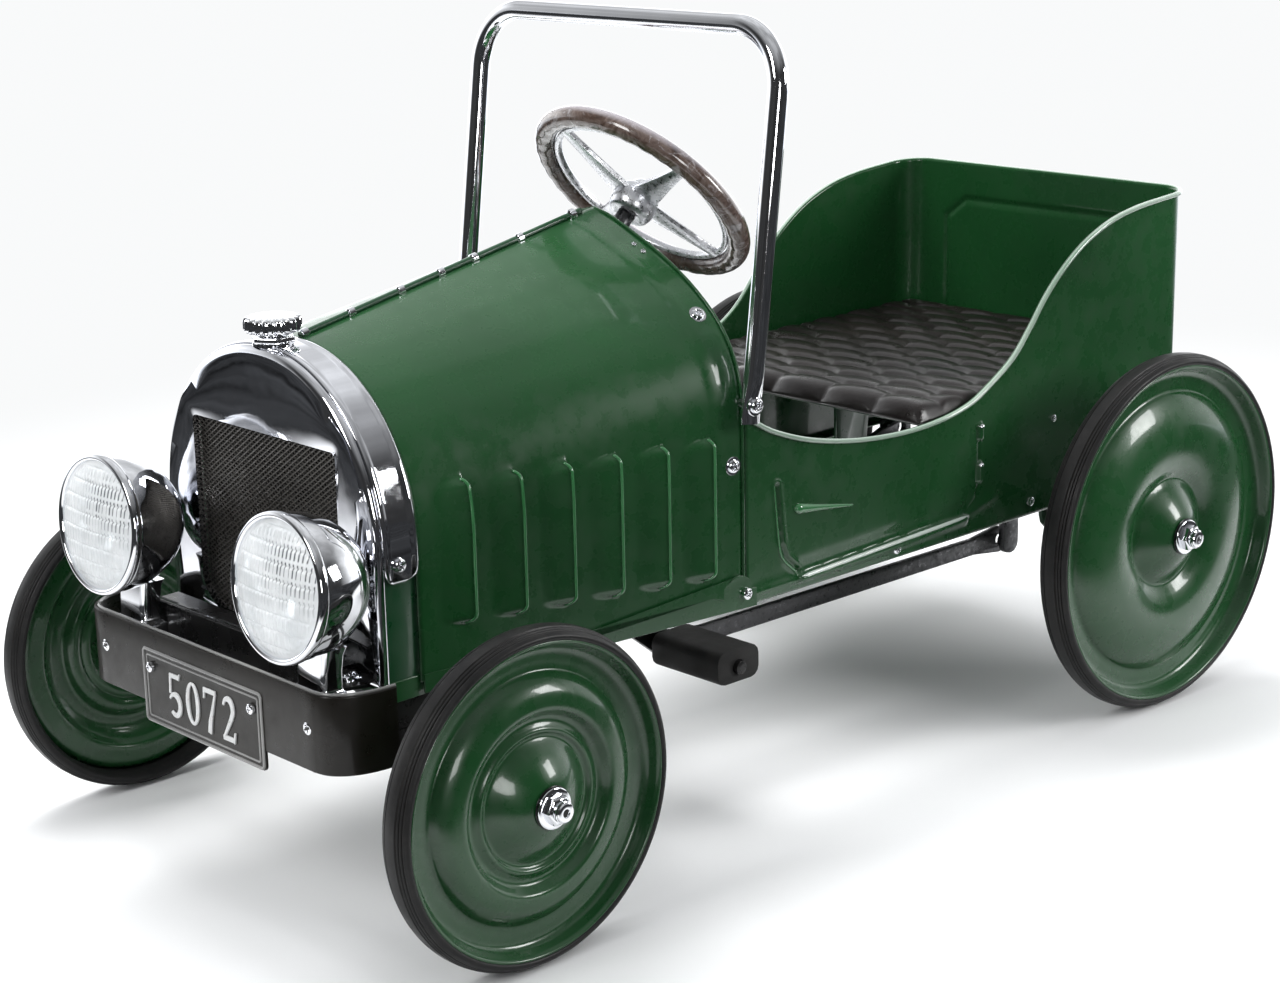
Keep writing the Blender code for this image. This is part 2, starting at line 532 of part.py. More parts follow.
tie = axis_empty("tie_rod_axis", (TIE_X, KINGPIN_Y, TIE_Z))
tie_rod = rod("tie_rod", (TIE_X, -KINGPIN_Y - 0.0060, TIE_Z), (TIE_X, KINGPIN_Y + 0.0060, TIE_Z), 0.0042, ZINC, tie, seg=12)
for s in (1, -1):
    join(tie_rod, rod("tie_pin_%d" % s, (TIE_X, s * KINGPIN_Y, TIE_Z), (TIE_X, s * KINGPIN_Y, 0.0905), 0.0031, ZINC, tie, seg=14, cutter=True))
join(tie_rod, rod("tie_lug", (TIE_X, 0, TIE_Z), (TIE_X, 0, tip_z - 0.0060 - 0.0006), 0.0060, ZINC, tie, seg=14, cutter=True))

# ------------------------------------------------------------------ wheels
def tyre_profile(R):
    return [(R - 0.0078, 0.0), (R - 0.0032, 0.0), (R, -0.0056), (R, -0.0146), (R - 0.0032, -TYRE_W), (R - 0.0078, -TYRE_W),
            (R - 0.0100, -0.0160), (R - 0.0100, -0.0042)]


FRONT_DISC = [(0.0054, 0.0088), (0.0150, 0.0082), (0.0300, 0.0012), (0.0400, -0.0060), (0.0530, -0.0012),
              (0.0660, -0.0024), (0.0765, -0.0092), (0.0870, -0.0092), (0.0903, -0.0030)]
REAR_DISC = [(0.0054, 0.0088), (0.0150, 0.0078), (0.0280, 0.0006), (0.0400, -0.0066), (0.0600, -0.0002),
             (0.0820, -0.0022), (0.1010, -0.0100), (0.1125, -0.0100), (0.1163, -0.0030)]


def disc_profile(top, t=0.0018):
    """Closed section of a stamped disc of one thickness with a hub tube behind its bore."""
    low = [(r, h - t) for r, h in reversed(top)]
    low[-1] = (0.0084, top[1][1] - t)
    return top + low[:-1] + [(0.0088, top[1][1] - t), (0.0088, -0.0150), (0.0054, -0.0150)]


def wheel(name, R, y_face, s, top, centre, parent):
    at = (centre[0], s * y_face, centre[1])
    turned(name + "_tyre_" + ("L" if s > 0 else "R"), tyre_profile(R), at, (0, s, 0), RUBBER, parent, seg=28)
    turned(name + "_wheel_" + ("L" if s > 0 else "R"), disc_profile(top), at, (0, s, 0), GREEN, parent, seg=20)
    turned(name + "_nut_" + ("L" if s > 0 else "R"), [(0.0062, 0.0150), (0.0090, 0.0150), (0.0090, 0.0104), (0.0120, 0.0104), (0.0120, 0.0092), (0.0062, 0.0092)],
           at, (0, s, 0), CHROME, parent, seg=6)


for s, side in ((1, "L"), (-1, "R")):
    wheel("front", R_FRONT, Y_FRONT, s, FRONT_DISC, (XF, ZF), axis_empty("front_wheel_axis_" + side, (XF, s * Y_FRONT, ZF)))
    wheel("rear", R_REAR, Y_REAR, s, REAR_DISC, (0.0, R_REAR), axis_empty("rear_wheel_axis_" + side, (0, s * Y_REAR, R_REAR)))

# ------------------------------------------------------------------ rear axle with its cranks
ZR = R_REAR
rear = axis_empty("rear_axle_axis", (0, 0, ZR))
axle = rod("rear_axle", (0, -Y_REAR - 0.0202, ZR), (0, Y_REAR + 0.0202, ZR), 0.0050, ZINC, rear, seg=16)
for s, side, sense in ((1, "L", -1), (-1, "R", 1)):
    z = ZR + sense * CRANK
    lo, hi = min(z, ZR), max(z, ZR)
    web = rounded([(-0.0085, lo - 0.0085), (0.0085, lo - 0.0085), (0.0085, hi + 0.0085), (-0.0085, hi + 0.0085)], 0.0075, n=3)
    y0, y1 = sorted((s * 0.0565, s * 0.0615))
    join(axle, prism_y("crank_web_" + side, web, y0, y1, ZINC, rear, cutter=True))
    join(axle, rod("crank_pin_" + side, (0, s * 0.0518, z), (0, s * 0.0580, z), 0.0042, ZINC, rear, seg=14, cutter=True))
    hanger = prism_y("axle_hanger_" + side, rounded([(-0.0270, 0.2238), (-0.0155, 0.1125), (0.0155, 0.1125), (0.0180, 0.2238)], [0.001, 0.012, 0.012, 0.001], n=3),
                     *sorted((s * 0.0985, s * 0.1015)), GREEN)
    cut(hanger, rod("hanger_hole_" + side, (0, s * 0.0900, ZR), (0, s * 0.1100, ZR), 0.0094, GREEN, seg=20, cutter=True))
    turned("axle_bush_" + side, [(0.0055, 0.0060), (0.0090, 0.0060), (0.0090, -0.0060), (0.0055, -0.0060)], (0, s * 0.1000, ZR), (0, s, 0), NYLON, seg=16)

# ------------------------------------------------------------------ pedals and drive rods
rod("pedal_pivot_rod", (PEDAL_PIVOT[0], -0.1240, PEDAL_PIVOT[1]), (PEDAL_PIVOT[0], 0.1240, PEDAL_PIVOT[1]), 0.0050, ZINC, seg=14)
P, Q = Vector(PEDAL_PIVOT), Vector(PEDAL_PIN)
ROD_LEN = (Q - Vector((0, ZR - CRANK))).length


def meet(c0, r0, c1, r1):
    """The lower crossing of two circles in the x-z plane."""
    d = c1 - c0
    m = (r0 * r0 - r1 * r1 + d.length_squared) / (2 * d.length)
    h = math.sqrt(r0 * r0 - m * m)
    u = d.normalized()
    n = Vector((-u.y, u.x))
    p, q = c0 + u * m + n * h, c0 + u * m - n * h
    return p if p.y < q.y else q


for s, side, sense in ((1, "L", -1), (-1, "R", 1)):
    crank_at = Vector((0, ZR + sense * CRANK))
    pin = meet(P, (Q - P).length, crank_at, ROD_LEN)
    turn = (Q - P).angle_signed(pin - P)          # how far this arm stands from the left one's rest

    def swing(x, z):
        v = Vector((x, z)) - P
        v.rotate(Matrix.Rotation(-turn, 2))
        return tuple(P + v)

    joint = axis_empty("pedal_axis_" + side, (P.x, 0, P.y))
    y0, y1 = sorted((s * 0.0400, s * 0.0450))
    centre_line = [(0.4050, 0.2700), (0.4010, 0.2000), (0.3930, 0.1500), (0.3760, 0.1160), (0.3450, 0.0935)]
    widths = [0.0100, 0.0080, 0.0080, 0.0080, 0.0095]
    fore, aft = [], []
    for i, (x, z) in enumerate(centre_line):
        a0, a1 = Vector(centre_line[max(i - 1, 0)]), Vector(centre_line[min(i + 1, 4)])
        t = (a1 - a0).normalized()
        n = Vector((-t.y, t.x)) * widths[i]
        ext = t * (-widths[i] if i == 0 else widths[i] if i == 4 else 0)
        c = Vector((x, z)) + ext * 0.75
        fore.append(swing(*(c + n)))
        aft.append(swing(*(c - n)))
    arm = prism_y("pedal_arm_" + side, rounded(fore + list(reversed(aft)), [0.006, 0.02, 0.02, 0.02, 0.006, 0.006, 0.02, 0.02, 0.02, 0.006], n=3), y0, y1, BLACK, joint)
    cut(arm, rod("arm_eye_" + side, (P.x, s * 0.0300, P.y), (P.x, s * 0.0600, P.y), 0.0055, BLACK, joint, seg=16, cutter=True))
    join(arm, rod("pedal_pin_" + side, (pin.x, s * 0.0430, pin.y), (pin.x, s * 0.1170, pin.y), 0.0045, BLACK, joint, seg=14, cutter=True))
    ya, yb = sorted((s * 0.0522, s * 0.1140))
    pad_pts = rounded([(pin.x - 0.0190, pin.y - 0.0100), (pin.x + 0.0190, pin.y - 0.0100), (pin.x + 0.0190, pin.y + 0.0125), (pin.x - 0.0190, pin.y + 0.0125)], 0.0070, n=3)
    pad = prism_y("pedal_pad_" + side, pad_pts, ya, yb, RUBBER, joint)
    cut(pad, rod("pad_bore_" + side, (pin.x, s * 0.0400, pin.y), (pin.x, s * 0.1300, pin.y), 0.0050, RUBBER, joint, seg=14, cutter=True))

    hinge = axis_empty("rod_axis_" + side, (pin.x, s * sum(ROD_Y) / 2, pin.y))
    u = (crank_at - pin).normalized()
    n = Vector((-u.y, u.x))
    bar = [crank_at + u * 0.0100 + n * 0.0070, crank_at + n * 0.0100, crank_at - u * 0.0300 + n * 0.0060, pin + u * 0.0300 + n * 0.0060, pin + n * 0.0100, pin - u * 0.0100 + n * 0.0070]
    bar += [q - 2 * n * (q - crank_at).dot(n) for q in reversed(bar)]
    bar = rounded([tuple(q) for q in bar], [0.006, 0.008, 0.02, 0.02, 0.008, 0.006, 0.006, 0.008, 0.02, 0.02, 0.008, 0.006], n=2)
    link = prism_y("drive_rod_" + side, bar, *sorted((s * ROD_Y[0], s * ROD_Y[1])), ZINC, hinge)
    cut(link, rod("rod_front_eye_" + side, (pin.x, s * 0.0400, pin.y), (pin.x, s * 0.0600, pin.y), 0.0050, ZINC, hinge, seg=16, cutter=True))
    cut(link, rod("rod_rear_eye_" + side, (0, s * 0.0400, crank_at.y), (0, s * 0.0600, crank_at.y), 0.0048, ZINC, hinge, seg=16, cutter=True))
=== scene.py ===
import json
import math

import bmesh
import bpy
import numpy as np
from mathutils import Matrix, Vector


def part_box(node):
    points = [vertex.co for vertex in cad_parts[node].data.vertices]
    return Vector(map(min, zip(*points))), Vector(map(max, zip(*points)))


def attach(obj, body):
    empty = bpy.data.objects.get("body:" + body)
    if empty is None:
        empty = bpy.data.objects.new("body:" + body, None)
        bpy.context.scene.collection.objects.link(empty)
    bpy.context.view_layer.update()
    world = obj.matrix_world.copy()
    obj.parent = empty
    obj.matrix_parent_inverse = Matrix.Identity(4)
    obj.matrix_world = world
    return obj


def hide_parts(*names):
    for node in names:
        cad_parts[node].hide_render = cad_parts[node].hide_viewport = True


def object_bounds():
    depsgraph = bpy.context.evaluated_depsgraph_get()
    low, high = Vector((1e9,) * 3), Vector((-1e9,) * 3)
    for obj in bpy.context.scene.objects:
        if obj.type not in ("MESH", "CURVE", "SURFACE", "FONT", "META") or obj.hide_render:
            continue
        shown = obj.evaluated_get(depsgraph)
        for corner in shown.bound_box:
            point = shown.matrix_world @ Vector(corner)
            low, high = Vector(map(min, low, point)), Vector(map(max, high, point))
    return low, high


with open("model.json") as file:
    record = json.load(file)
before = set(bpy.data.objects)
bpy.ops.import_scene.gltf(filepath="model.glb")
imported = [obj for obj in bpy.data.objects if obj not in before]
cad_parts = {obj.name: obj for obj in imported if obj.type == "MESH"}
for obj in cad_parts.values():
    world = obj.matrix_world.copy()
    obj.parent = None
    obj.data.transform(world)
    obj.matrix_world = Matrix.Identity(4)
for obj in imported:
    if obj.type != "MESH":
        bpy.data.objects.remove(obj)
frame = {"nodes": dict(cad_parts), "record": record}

CAD_LO, CAD_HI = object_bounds()
NODES = frame["nodes"]
ROOT = "car_body"


def mid(node):
    lo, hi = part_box(node)
    return (lo + hi) / 2


# Everything below is drawn in the car's own frame: x forward from the rear axle, y to the left, z up.
SX = -mid("rear_axle").x
R_FRONT = (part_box("front_tyre_L")[1].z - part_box("front_tyre_L")[0].z) / 2
R_REAR = (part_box("rear_tyre_L")[1].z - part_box("rear_tyre_L")[0].z) / 2
XF = mid("front_tyre_L").x + SX
Y_FRONT, Y_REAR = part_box("front_tyre_L")[1].y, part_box("rear_tyre_L")[1].y
BODY_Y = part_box("body_tub")[1].y
BODY_Z0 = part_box("body_tub")[0].z
REAR_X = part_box("body_tub")[0].x + SX
REAR_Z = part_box("body_tub")[1].z
HOOD_X0, HOOD_X1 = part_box("hood")[0].x + SX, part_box("hood")[1].x + SX
HOOD_Z0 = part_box("hood")[0].z
RAD_W, RAD_TOP, RAD_Z = 0.1075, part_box("radiator_shell")[1].z, 0.2250
RAD_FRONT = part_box("radiator_shell")[1].x + SX
SKIRT = HOOD_Z0 - 0.0070

# ------------------------------------------------------------------ mesh helpers


def lerp(a, b, t):
    return a + (b - a) * t


def smoothstep(a, b, x):
    t = np.clip((x - a) / (b - a), 0.0, 1.0)
    return t * t * (3 - 2 * t)


def make(name, data, body, mat, replaces=(), sharp=38, solid=0.0, closed=True, bevel=0.0):
    """A piece from (vertices, faces) in the car's frame, riding on a body."""
    verts, faces = data
    me = bpy.data.meshes.new(name)
    me.from_pydata([(p[0] - SX, p[1], p[2]) for p in verts], [], faces)
    bm = bmesh.new()
    bm.from_mesh(me)
    bmesh.ops.remove_doubles(bm, verts=bm.verts, dist=1e-7)
    if closed:
        bmesh.ops.recalc_face_normals(bm, faces=bm.faces)
    bm.to_mesh(me)
    bm.free()
    me.shade_smooth()
    me.set_sharp_from_angle(angle=math.radians(sharp))
    o = bpy.data.objects.new(name, me)
    bpy.context.scene.collection.objects.link(o)
    me.materials.append(mat)
    if solid:
        s = o.modifiers.new("gauge", "SOLIDIFY")
        s.thickness, s.offset, s.use_even_offset = solid, -1.0, True
    if bevel:
        b = o.modifiers.new("edges", "BEVEL")
        b.width, b.segments, b.limit_method, b.angle_limit = bevel, 3, "ANGLE", math.radians(40)
        b.harden_normals = False
    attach(o, body)
    if replaces:
        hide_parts(*replaces)
    return o


def merge(*parts):
    verts, faces = [], []
    for v, f in parts:
        n = len(verts)
        verts += list(v)
        faces += [tuple(i + n for i in q) for q in f]
    return verts, faces


def smooth_line(pts, per=6, closed=False):
    """Catmull-Rom through points of any dimension."""
    p = [np.array(q, float) for q in pts]
    n = len(p)
    out = []
    for i in range(n if closed else n - 1):
        if closed:
            a, b, c, d = p[(i - 1) % n], p[i], p[(i + 1) % n], p[(i + 2) % n]
        else:
            b, c = p[i], p[i + 1]
            a = p[i - 1] if i > 0 else 2 * b - c
            d = p[i + 2] if i + 2 < n else 2 * c - b
        for k in range(per):
            t = k / per
            out.append(0.5 * (2 * b + (c - a) * t + (2 * a - 5 * b + 4 * c - d) * t * t + (3 * b - a - 3 * c + d) * t ** 3))
    if not closed:
        out.append(p[-1])
    return [tuple(float(v) for v in q) for q in out]


def frame_of(direction):
    return Vector((0, 0, 1)).rotation_difference(Vector(direction).normalized()).to_matrix()


def lathe(profile, at, direction, seg=96, closed=False, shape=None):
    """Turned form. profile is (radius, height) along direction; shape(r, h, angle) may change them."""
    q = frame_of(direction)
    at = Vector(at)
    verts, rings = [], []
    for r, h in profile:
        if r < 1e-7:
            rings.append([len(verts)])
            verts.append(tuple(at + q @ Vector((0, 0, h))))
            continue
        ring = []
        for k in range(seg):
            a = math.tau * k / seg
            rr, hh = shape(r, h, a) if shape else (r, h)
            ring.append(len(verts))
            verts.append(tuple(at + q @ Vector((rr * math.cos(a), rr * math.sin(a), hh))))
        rings.append(ring)
    faces = []
    pairs = list(zip(rings, rings[1:])) + ([(rings[-1], rings[0])] if closed else [])
    for a, b in pairs:
        if len(a) == 1 and len(b) == 1:
            continue
        for k in range(seg):
            m = (k + 1) % seg
            if len(a) == 1:
                faces.append((a[0], b[m], b[k]))
            elif len(b) == 1:
                faces.append((a[k], a[m], b[0]))
            else:
                faces.append((a[k], a[m], b[m], b[k]))
    return verts, faces


def loft(loops, cyclic=False, cap=True):
    n, m = len(loops[0]), len(loops)
    verts = [tuple(p) for loop in loops for p in loop]
    faces = []
    for i in range(m if cyclic else m - 1):
        a, b = i * n, ((i + 1) % m) * n
        for j in range(n):
            k = (j + 1) % n
            faces.append((a + j, a + k, b + k, b + j))
    if cap and not cyclic:
        faces.append(tuple(range(n))[::-1])
        faces.append(tuple(range((m - 1) * n, m * n)))
    return verts, faces


def sweep(path, rx, ry=None, seg=16, cyclic=False, up=(0, 0, 1)):
    """A bar of elliptical section along a path. rx and ry are numbers or functions of the share of the length."""
    pts = [Vector(p) for p in path]
    n = len(pts)
    loops = []
    ref = Vector(up)
    for i, p in enumerate(pts):
        if cyclic:
            t = (pts[(i + 1) % n] - pts[i - 1]).normalized()
        else:
            t = (pts[min(i + 1, n - 1)] - pts[max(i - 1, 0)]).normalized()
        side = ref.cross(t)
        if side.length < 1e-6:
            side = Vector((0, 1, 0)).cross(t)
        side.normalize()
        nrm = t.cross(side).normalized()
        f = i / max(n - 1, 1)
        a = rx(f) if callable(rx) else rx
        b = (ry(f) if callable(ry) else ry) if ry is not None else a
        loops.append([p + side * (a * math.cos(math.tau * k / seg)) + nrm * (b * math.sin(math.tau * k / seg)) for k in range(seg)])
        ref = nrm
    return loft(loops, cyclic)


def rounded(pts, r, n=5):
    """Closed outline of 2D points with rounded corners; r is a number or one for each corner."""
    out = []
    m = len(pts)
    for i in range(m):
        p, a, b = Vector(pts[i]), Vector(pts[i - 1]), Vector(pts[(i + 1) % m])
        rr = r[i] if isinstance(r, (list, tuple)) else r
        if rr <= 0:
            out.append(tuple(p))
            continue
        u, v = (a - p).normalized(), (b - p).normalized()
        half = math.acos(max(-1, min(1, u.dot(v)))) / 2
        d = rr / math.tan(half)
        c = p + (u + v).normalized() * (rr / math.sin(half))
        s, e = p + u * d - c, p + v * d - c
        turn = s.angle_signed(e)
        for k in range(n + 1):
            w = s.copy()
            w.rotate(Matrix.Rotation(-turn * k / n, 2))
            out.append(tuple(c + w))
    return out


def strip(path, z0, z1, t, inward=1, r=None):
    """An upright band of sheet of thickness t along an xy path, with rolled edges."""
    r = t * 0.45 if r is None else r
    sec = rounded([(0, z0), (-t * inward, z0), (-t * inward, z1), (0, z1)], r, 3)
    loops = []
    n = len(path)
    for i in range(n):
        a, b = Vector(path[max(i - 1, 0)]), Vector(path[min(i + 1, n - 1)])
        d = (b - a).normalized()
        nx, ny = d.y, -d.x
        loops.append([(path[i][0] + nx * s, path[i][1] + ny * s, z) for s, z in sec])
    return loft(loops)


def grid_faces(nc, nr, skip=None):
    return [(c * nr + r, (c + 1) * nr + r, (c + 1) * nr + r + 1, c * nr + r + 1)
            for c in range(nc - 1) for r in range(nr - 1) if not (skip and skip(c, r))]


def dist_to(x, z, pts):
    """Distance of points (arrays) to a polyline."""
    best = np.full(np.broadcast(x, z).shape, 1e9)
    for (ax, az), (bx, bz) in zip(pts, pts[1:]):
        dx, dz = bx - ax, bz - az
        t = np.clip(((x - ax) * dx + (z - az) * dz) / (dx * dx + dz * dz), 0, 1)
        best = np.minimum(best, np.hypot(x - ax - t * dx, z - az - t * dz))
    return best


def pan_head(at, normal, r=0.0038, h=0.0021, washer=True, turn=0.0):
    """A cross-recessed pan head screw."""
    q = frame_of(normal)
    at = Vector(at)
    n, seg = 13, 48
    verts, faces = [tuple(at + q @ Vector((0, 0, h - 0.42 * h)))], []
    for i in range(1, n):
        f = i / (n - 1)
        rr = r * min(1.0, f * 1.02)
        top = h * math.sqrt(max(0.0, 1 - (f * 0.94) ** 4)) if f < 1 else 0.0
        for k in range(seg):
            a = math.tau * k / seg + turn
            x, y = rr * math.cos(a - turn), rr * math.sin(a - turn)
            z = top
            w = r * 0.17
            if f < 0.62 and (abs(x) < w or abs(y) < w):
                z = top - h * 0.5 * (1 - (f / 0.62) ** 3)
            verts.append(tuple(at + q @ Vector((rr * math.cos(a), rr * math.sin(a), z))))
    for k in range(seg):
        faces.append((0, 1 + k, 1 + (k + 1) % seg))
    for i in range(n - 2):
        a, b = 1 + i * seg, 1 + (i + 1) * seg
        for k in range(seg):
            m = (k + 1) % seg
            faces.append((a + k, a + m, b + m, b + k))
    base = len(verts)
    for k in range(seg):
        a = math.tau * k / seg + turn
        verts.append(tuple(at + q @ Vector((r * math.cos(a), r * math.sin(a), -0.0008))))
    last = 1 + (n - 2) * seg
    for k in range(seg):
        m = (k + 1) % seg
        faces.append((last + k, last + m, base + m, base + k))
    faces.append(tuple(range(base, base + seg))[::-1])
    part = (verts, faces)
    if washer:
        w = lathe([(0.0, 0.0002), (r * 1.32, 0.0003), (r * 1.38, 0.0), (r * 1.38, -0.0008), (0.0, -0.0008)], at, normal, 40)
        part = merge(part, w)
    return part


# ------------------------------------------------------------------ materials


def node(nt, kind, ins=None, **props):
    n = nt.nodes.new(kind)
    for k, v in props.items():
        setattr(n, k, v)
    for k, v in (ins or {}).items():
        s = n.inputs[k]
        if isinstance(v, bpy.types.NodeSocket):
            nt.links.new(v, s)
        else:
            s.default_value = v
    return n


def new_mat(name):
    m = bpy.data.materials.new(name)
    m.use_nodes = True
    return m, m.node_tree, m.node_tree.nodes["Principled BSDF"]


def coords(nt, scale=(1, 1, 1)):
    tc = node(nt, "ShaderNodeTexCoord")
    return node(nt, "ShaderNodeMapping", {"Vector": tc.outputs["Object"], "Scale": scale}).outputs["Vector"]


def noise_of(nt, vec, scale, detail=3.0, rough=0.5, distortion=0.0):
    return node(nt, "ShaderNodeTexNoise", {"Vector": vec, "Scale": scale, "Detail": detail, "Roughness": rough, "Distortion": distortion}).outputs["Fac"]


def ramp(nt, fac, stops):
    r = node(nt, "ShaderNodeValToRGB", {"Fac": fac})
    e = r.color_ramp.elements
    e[0].position, e[0].color = stops[0][0], (*stops[0][1], 1)
    e[1].position, e[1].color = stops[-1][0], (*stops[-1][1], 1)
    for p, c in stops[1:-1]:
        x = e.new(p)
        x.color = (*c, 1)
    return r.outputs["Color"]


def span(nt, fac, a, b, lo=0.0, hi=1.0):
    return node(nt, "ShaderNodeMapRange", {"Value": fac, "From Min": lo, "From Max": hi, "To Min": a, "To Max": b}).outputs["Result"]


def mix(nt, fac, a, b):
    m = nt.nodes.new("ShaderNodeMix")
    m.data_type = "RGBA"
    for i, v in ((0, fac), (6, a), (7, b)):
        if isinstance(v, bpy.types.NodeSocket):
            nt.links.new(v, m.inputs[i])
        else:
            m.inputs[i].default_value = v if i == 0 else (*v, 1)
    return m.outputs[2]


def bump(nt, height, strength, distance, under=None):
    ins = {"Height": height, "Strength": strength, "Distance": distance}
    if under is not None:
        ins["Normal"] = under
    return node(nt, "ShaderNodeBump", ins).outputs["Normal"]


def pointiness(nt, lo, hi):
    g = node(nt, "ShaderNodeNewGeometry")
    return span(nt, g.outputs["Pointiness"], 0.0, 1.0, lo, hi)


def enamel(name, dark, mid_c, light, rough=0.16, coat=0.7, wear_and_highlight=(0.20, 0.30, 0.20), peel=0.035, spec=0.5):
    m, nt, p = new_mat(name)
    v = coords(nt)
    big = noise_of(nt, v, 6.0, 4.0, 0.55)
    fine = noise_of(nt, v, 70.0, 5.0, 0.6)
    col = ramp(nt, big, [(0.30, dark), (0.52, mid_c), (0.72, light)])
    col = mix(nt, span(nt, fine, 0.0, 0.22, 0.45, 0.8), col, tuple(c * 0.72 for c in mid_c))
    # edges that stick out are lightened towards the worn colour in noisy chips: partly chipped wear, partly a painted
    # highlight along the ridges
    edge = pointiness(nt, 0.56, 0.68)
    wear_and_highlight_chips = node(nt, "ShaderNodeMath", {0: edge, 1: span(nt, noise_of(nt, v, 160.0, 6.0, 0.7), 0.0, 0.55, 0.48, 0.62)}, operation="MULTIPLY").outputs[0]
    col = mix(nt, wear_and_highlight_chips, col, wear_and_highlight)
    nt.links.new(col, p.inputs["Base Color"])
    nt.links.new(span(nt, fine, rough * 0.75, rough * 1.6, 0.3, 0.75), p.inputs["Roughness"])
    p.inputs["Coat Weight"].default_value = coat
    nt.links.new(span(nt, big, 0.02, 0.07, 0.3, 0.7), p.inputs["Coat Roughness"])
    p.inputs["Specular IOR Level"].default_value = spec
    wavy = bump(nt, noise_of(nt, v, 22.0, 2.0, 0.5), 0.10, 0.0012)
    n = bump(nt, noise_of(nt, v, 900.0, 2.0, 0.5), peel, 0.00025, wavy)
    nt.links.new(n, p.inputs["Normal"])
    nt.links.new(n, p.inputs["Coat Normal"])
    return m


def plated(name, base, rough, spots=0.0, wave=0.06, metal=1.0, brushed=0.0):
    m, nt, p = new_mat(name)
    v = coords(nt)
    big = noise_of(nt, v, 18.0, 4.0, 0.6)
    fine = noise_of(nt, v, 320.0, 5.0, 0.65)
    col = mix(nt, span(nt, big, 0.0, 1.0, 0.35, 0.7), base, tuple(c * 0.90 for c in base))
    if spots:
        col = mix(nt, span(nt, fine, 0.0, spots, 0.60, 0.74), col, tuple(c * 0.35 for c in base))
    nt.links.new(col, p.inputs["Base Color"])
    p.inputs["Metallic"].default_value = metal
    nt.links.new(span(nt, fine, rough * 0.6, rough * 1.7, 0.35, 0.7), p.inputs["Roughness"])
    n = bump(nt, noise_of(nt, v, 26.0, 2.0, 0.5), wave, 0.001)
    if brushed:
        n = bump(nt, noise_of(nt, coords(nt, (60, 900, 900)), 1.0, 2.0, 0.6), brushed, 0.0003, n)
        p.inputs["Anisotropic"].default_value = 0.4
    nt.links.new(n, p.inputs["Normal"])
    return m


GREEN = enamel("green_enamel_finish", (0.0085, 0.0540, 0.0150), (0.0110, 0.0690, 0.0190), (0.0140, 0.0840, 0.0240), rough=0.26, coat=0.44, wear_and_highlight=(0.04, 0.18, 0.07), spec=0.36)
# painted highlight: a pale green for thin beads and crests, lighter than the enamel so they read as lit lines
GREEN_PAINTED_HIGHLIGHT = enamel("green_painted_highlight_finish", (0.0250, 0.150, 0.0450), (0.0550, 0.210, 0.0800), (0.1300, 0.280, 0.1500), rough=0.14, coat=1.0, wear_and_highlight=(0.45, 0.55, 0.46))
# painted highlight: near-white enamel for the door ledge crests, standing in for the light line along them
LEDGE_PAINTED_HIGHLIGHT = enamel("ledge_painted_highlight_finish", (0.50, 0.58, 0.52), (0.62, 0.69, 0.64), (0.74, 0.79, 0.75), rough=0.12, coat=1.0, wear_and_highlight=(0.78, 0.82, 0.79))
# painted highlight: pale green for the rolled edge of the cockpit, standing in for the light line along it
RIM_PAINTED_HIGHLIGHT = enamel("rolled_edge_painted_highlight_finish", (0.20, 0.30, 0.22), (0.34, 0.44, 0.36), (0.52, 0.60, 0.54), rough=0.12, coat=1.0, wear_and_highlight=(0.70, 0.74, 0.70))
# painted highlight: mid grey on black parts, for the bumper's top roll and the plate borders
BLACK_PAINTED_HIGHLIGHT = enamel("black_painted_highlight_finish", (0.10, 0.10, 0.10), (0.19, 0.19, 0.185), (0.32, 0.32, 0.31), rough=0.18, coat=0.8, wear_and_highlight=(0.55, 0.55, 0.54))
GREEN_IN = enamel("green_enamel_frame", (0.0070, 0.045, 0.0170), (0.0090, 0.0600, 0.0220), (0.0110, 0.0750, 0.0260), rough=0.32, coat=0.35, wear_and_highlight=(0.12, 0.16, 0.11))
BLACK = enamel("black_enamel_finish", (0.0055, 0.0055, 0.0060), (0.0085, 0.0083, 0.0085), (0.0125, 0.0120, 0.0118), rough=0.26, coat=0.20, wear_and_highlight=(0.09, 0.09, 0.09), spec=0.20)
SATIN = enamel("satin_black_finish", (0.0070, 0.0060, 0.0048), (0.0105, 0.0088, 0.0068), (0.0150, 0.0125, 0.0098), rough=0.30, coat=0.15, wear_and_highlight=(0.20, 0.20, 0.19), peel=0.10, spec=0.22)
CHROME = plated("chrome_finish", (0.82, 0.83, 0.86), 0.055, wave=0.025)
CHROME_FLAT = plated("chrome_sheet_finish", (0.80, 0.81, 0.85), 0.05, wave=0.35)
# painted shade: the zinc is darkened to near black so the rods under the body read as shaded
ZINC_DARKENED = plated("zinc_darkened_for_shade", (0.085, 0.085, 0.088), 0.38, spots=0.6, wave=0.08)
ALLOY = plated("cast_alloy_finish", (0.74, 0.75, 0.78), 0.30, wave=0.10)
DARK_STEEL = plated("grille_finish", (0.090, 0.084, 0.076), 0.36, wave=0.0, metal=0.80)

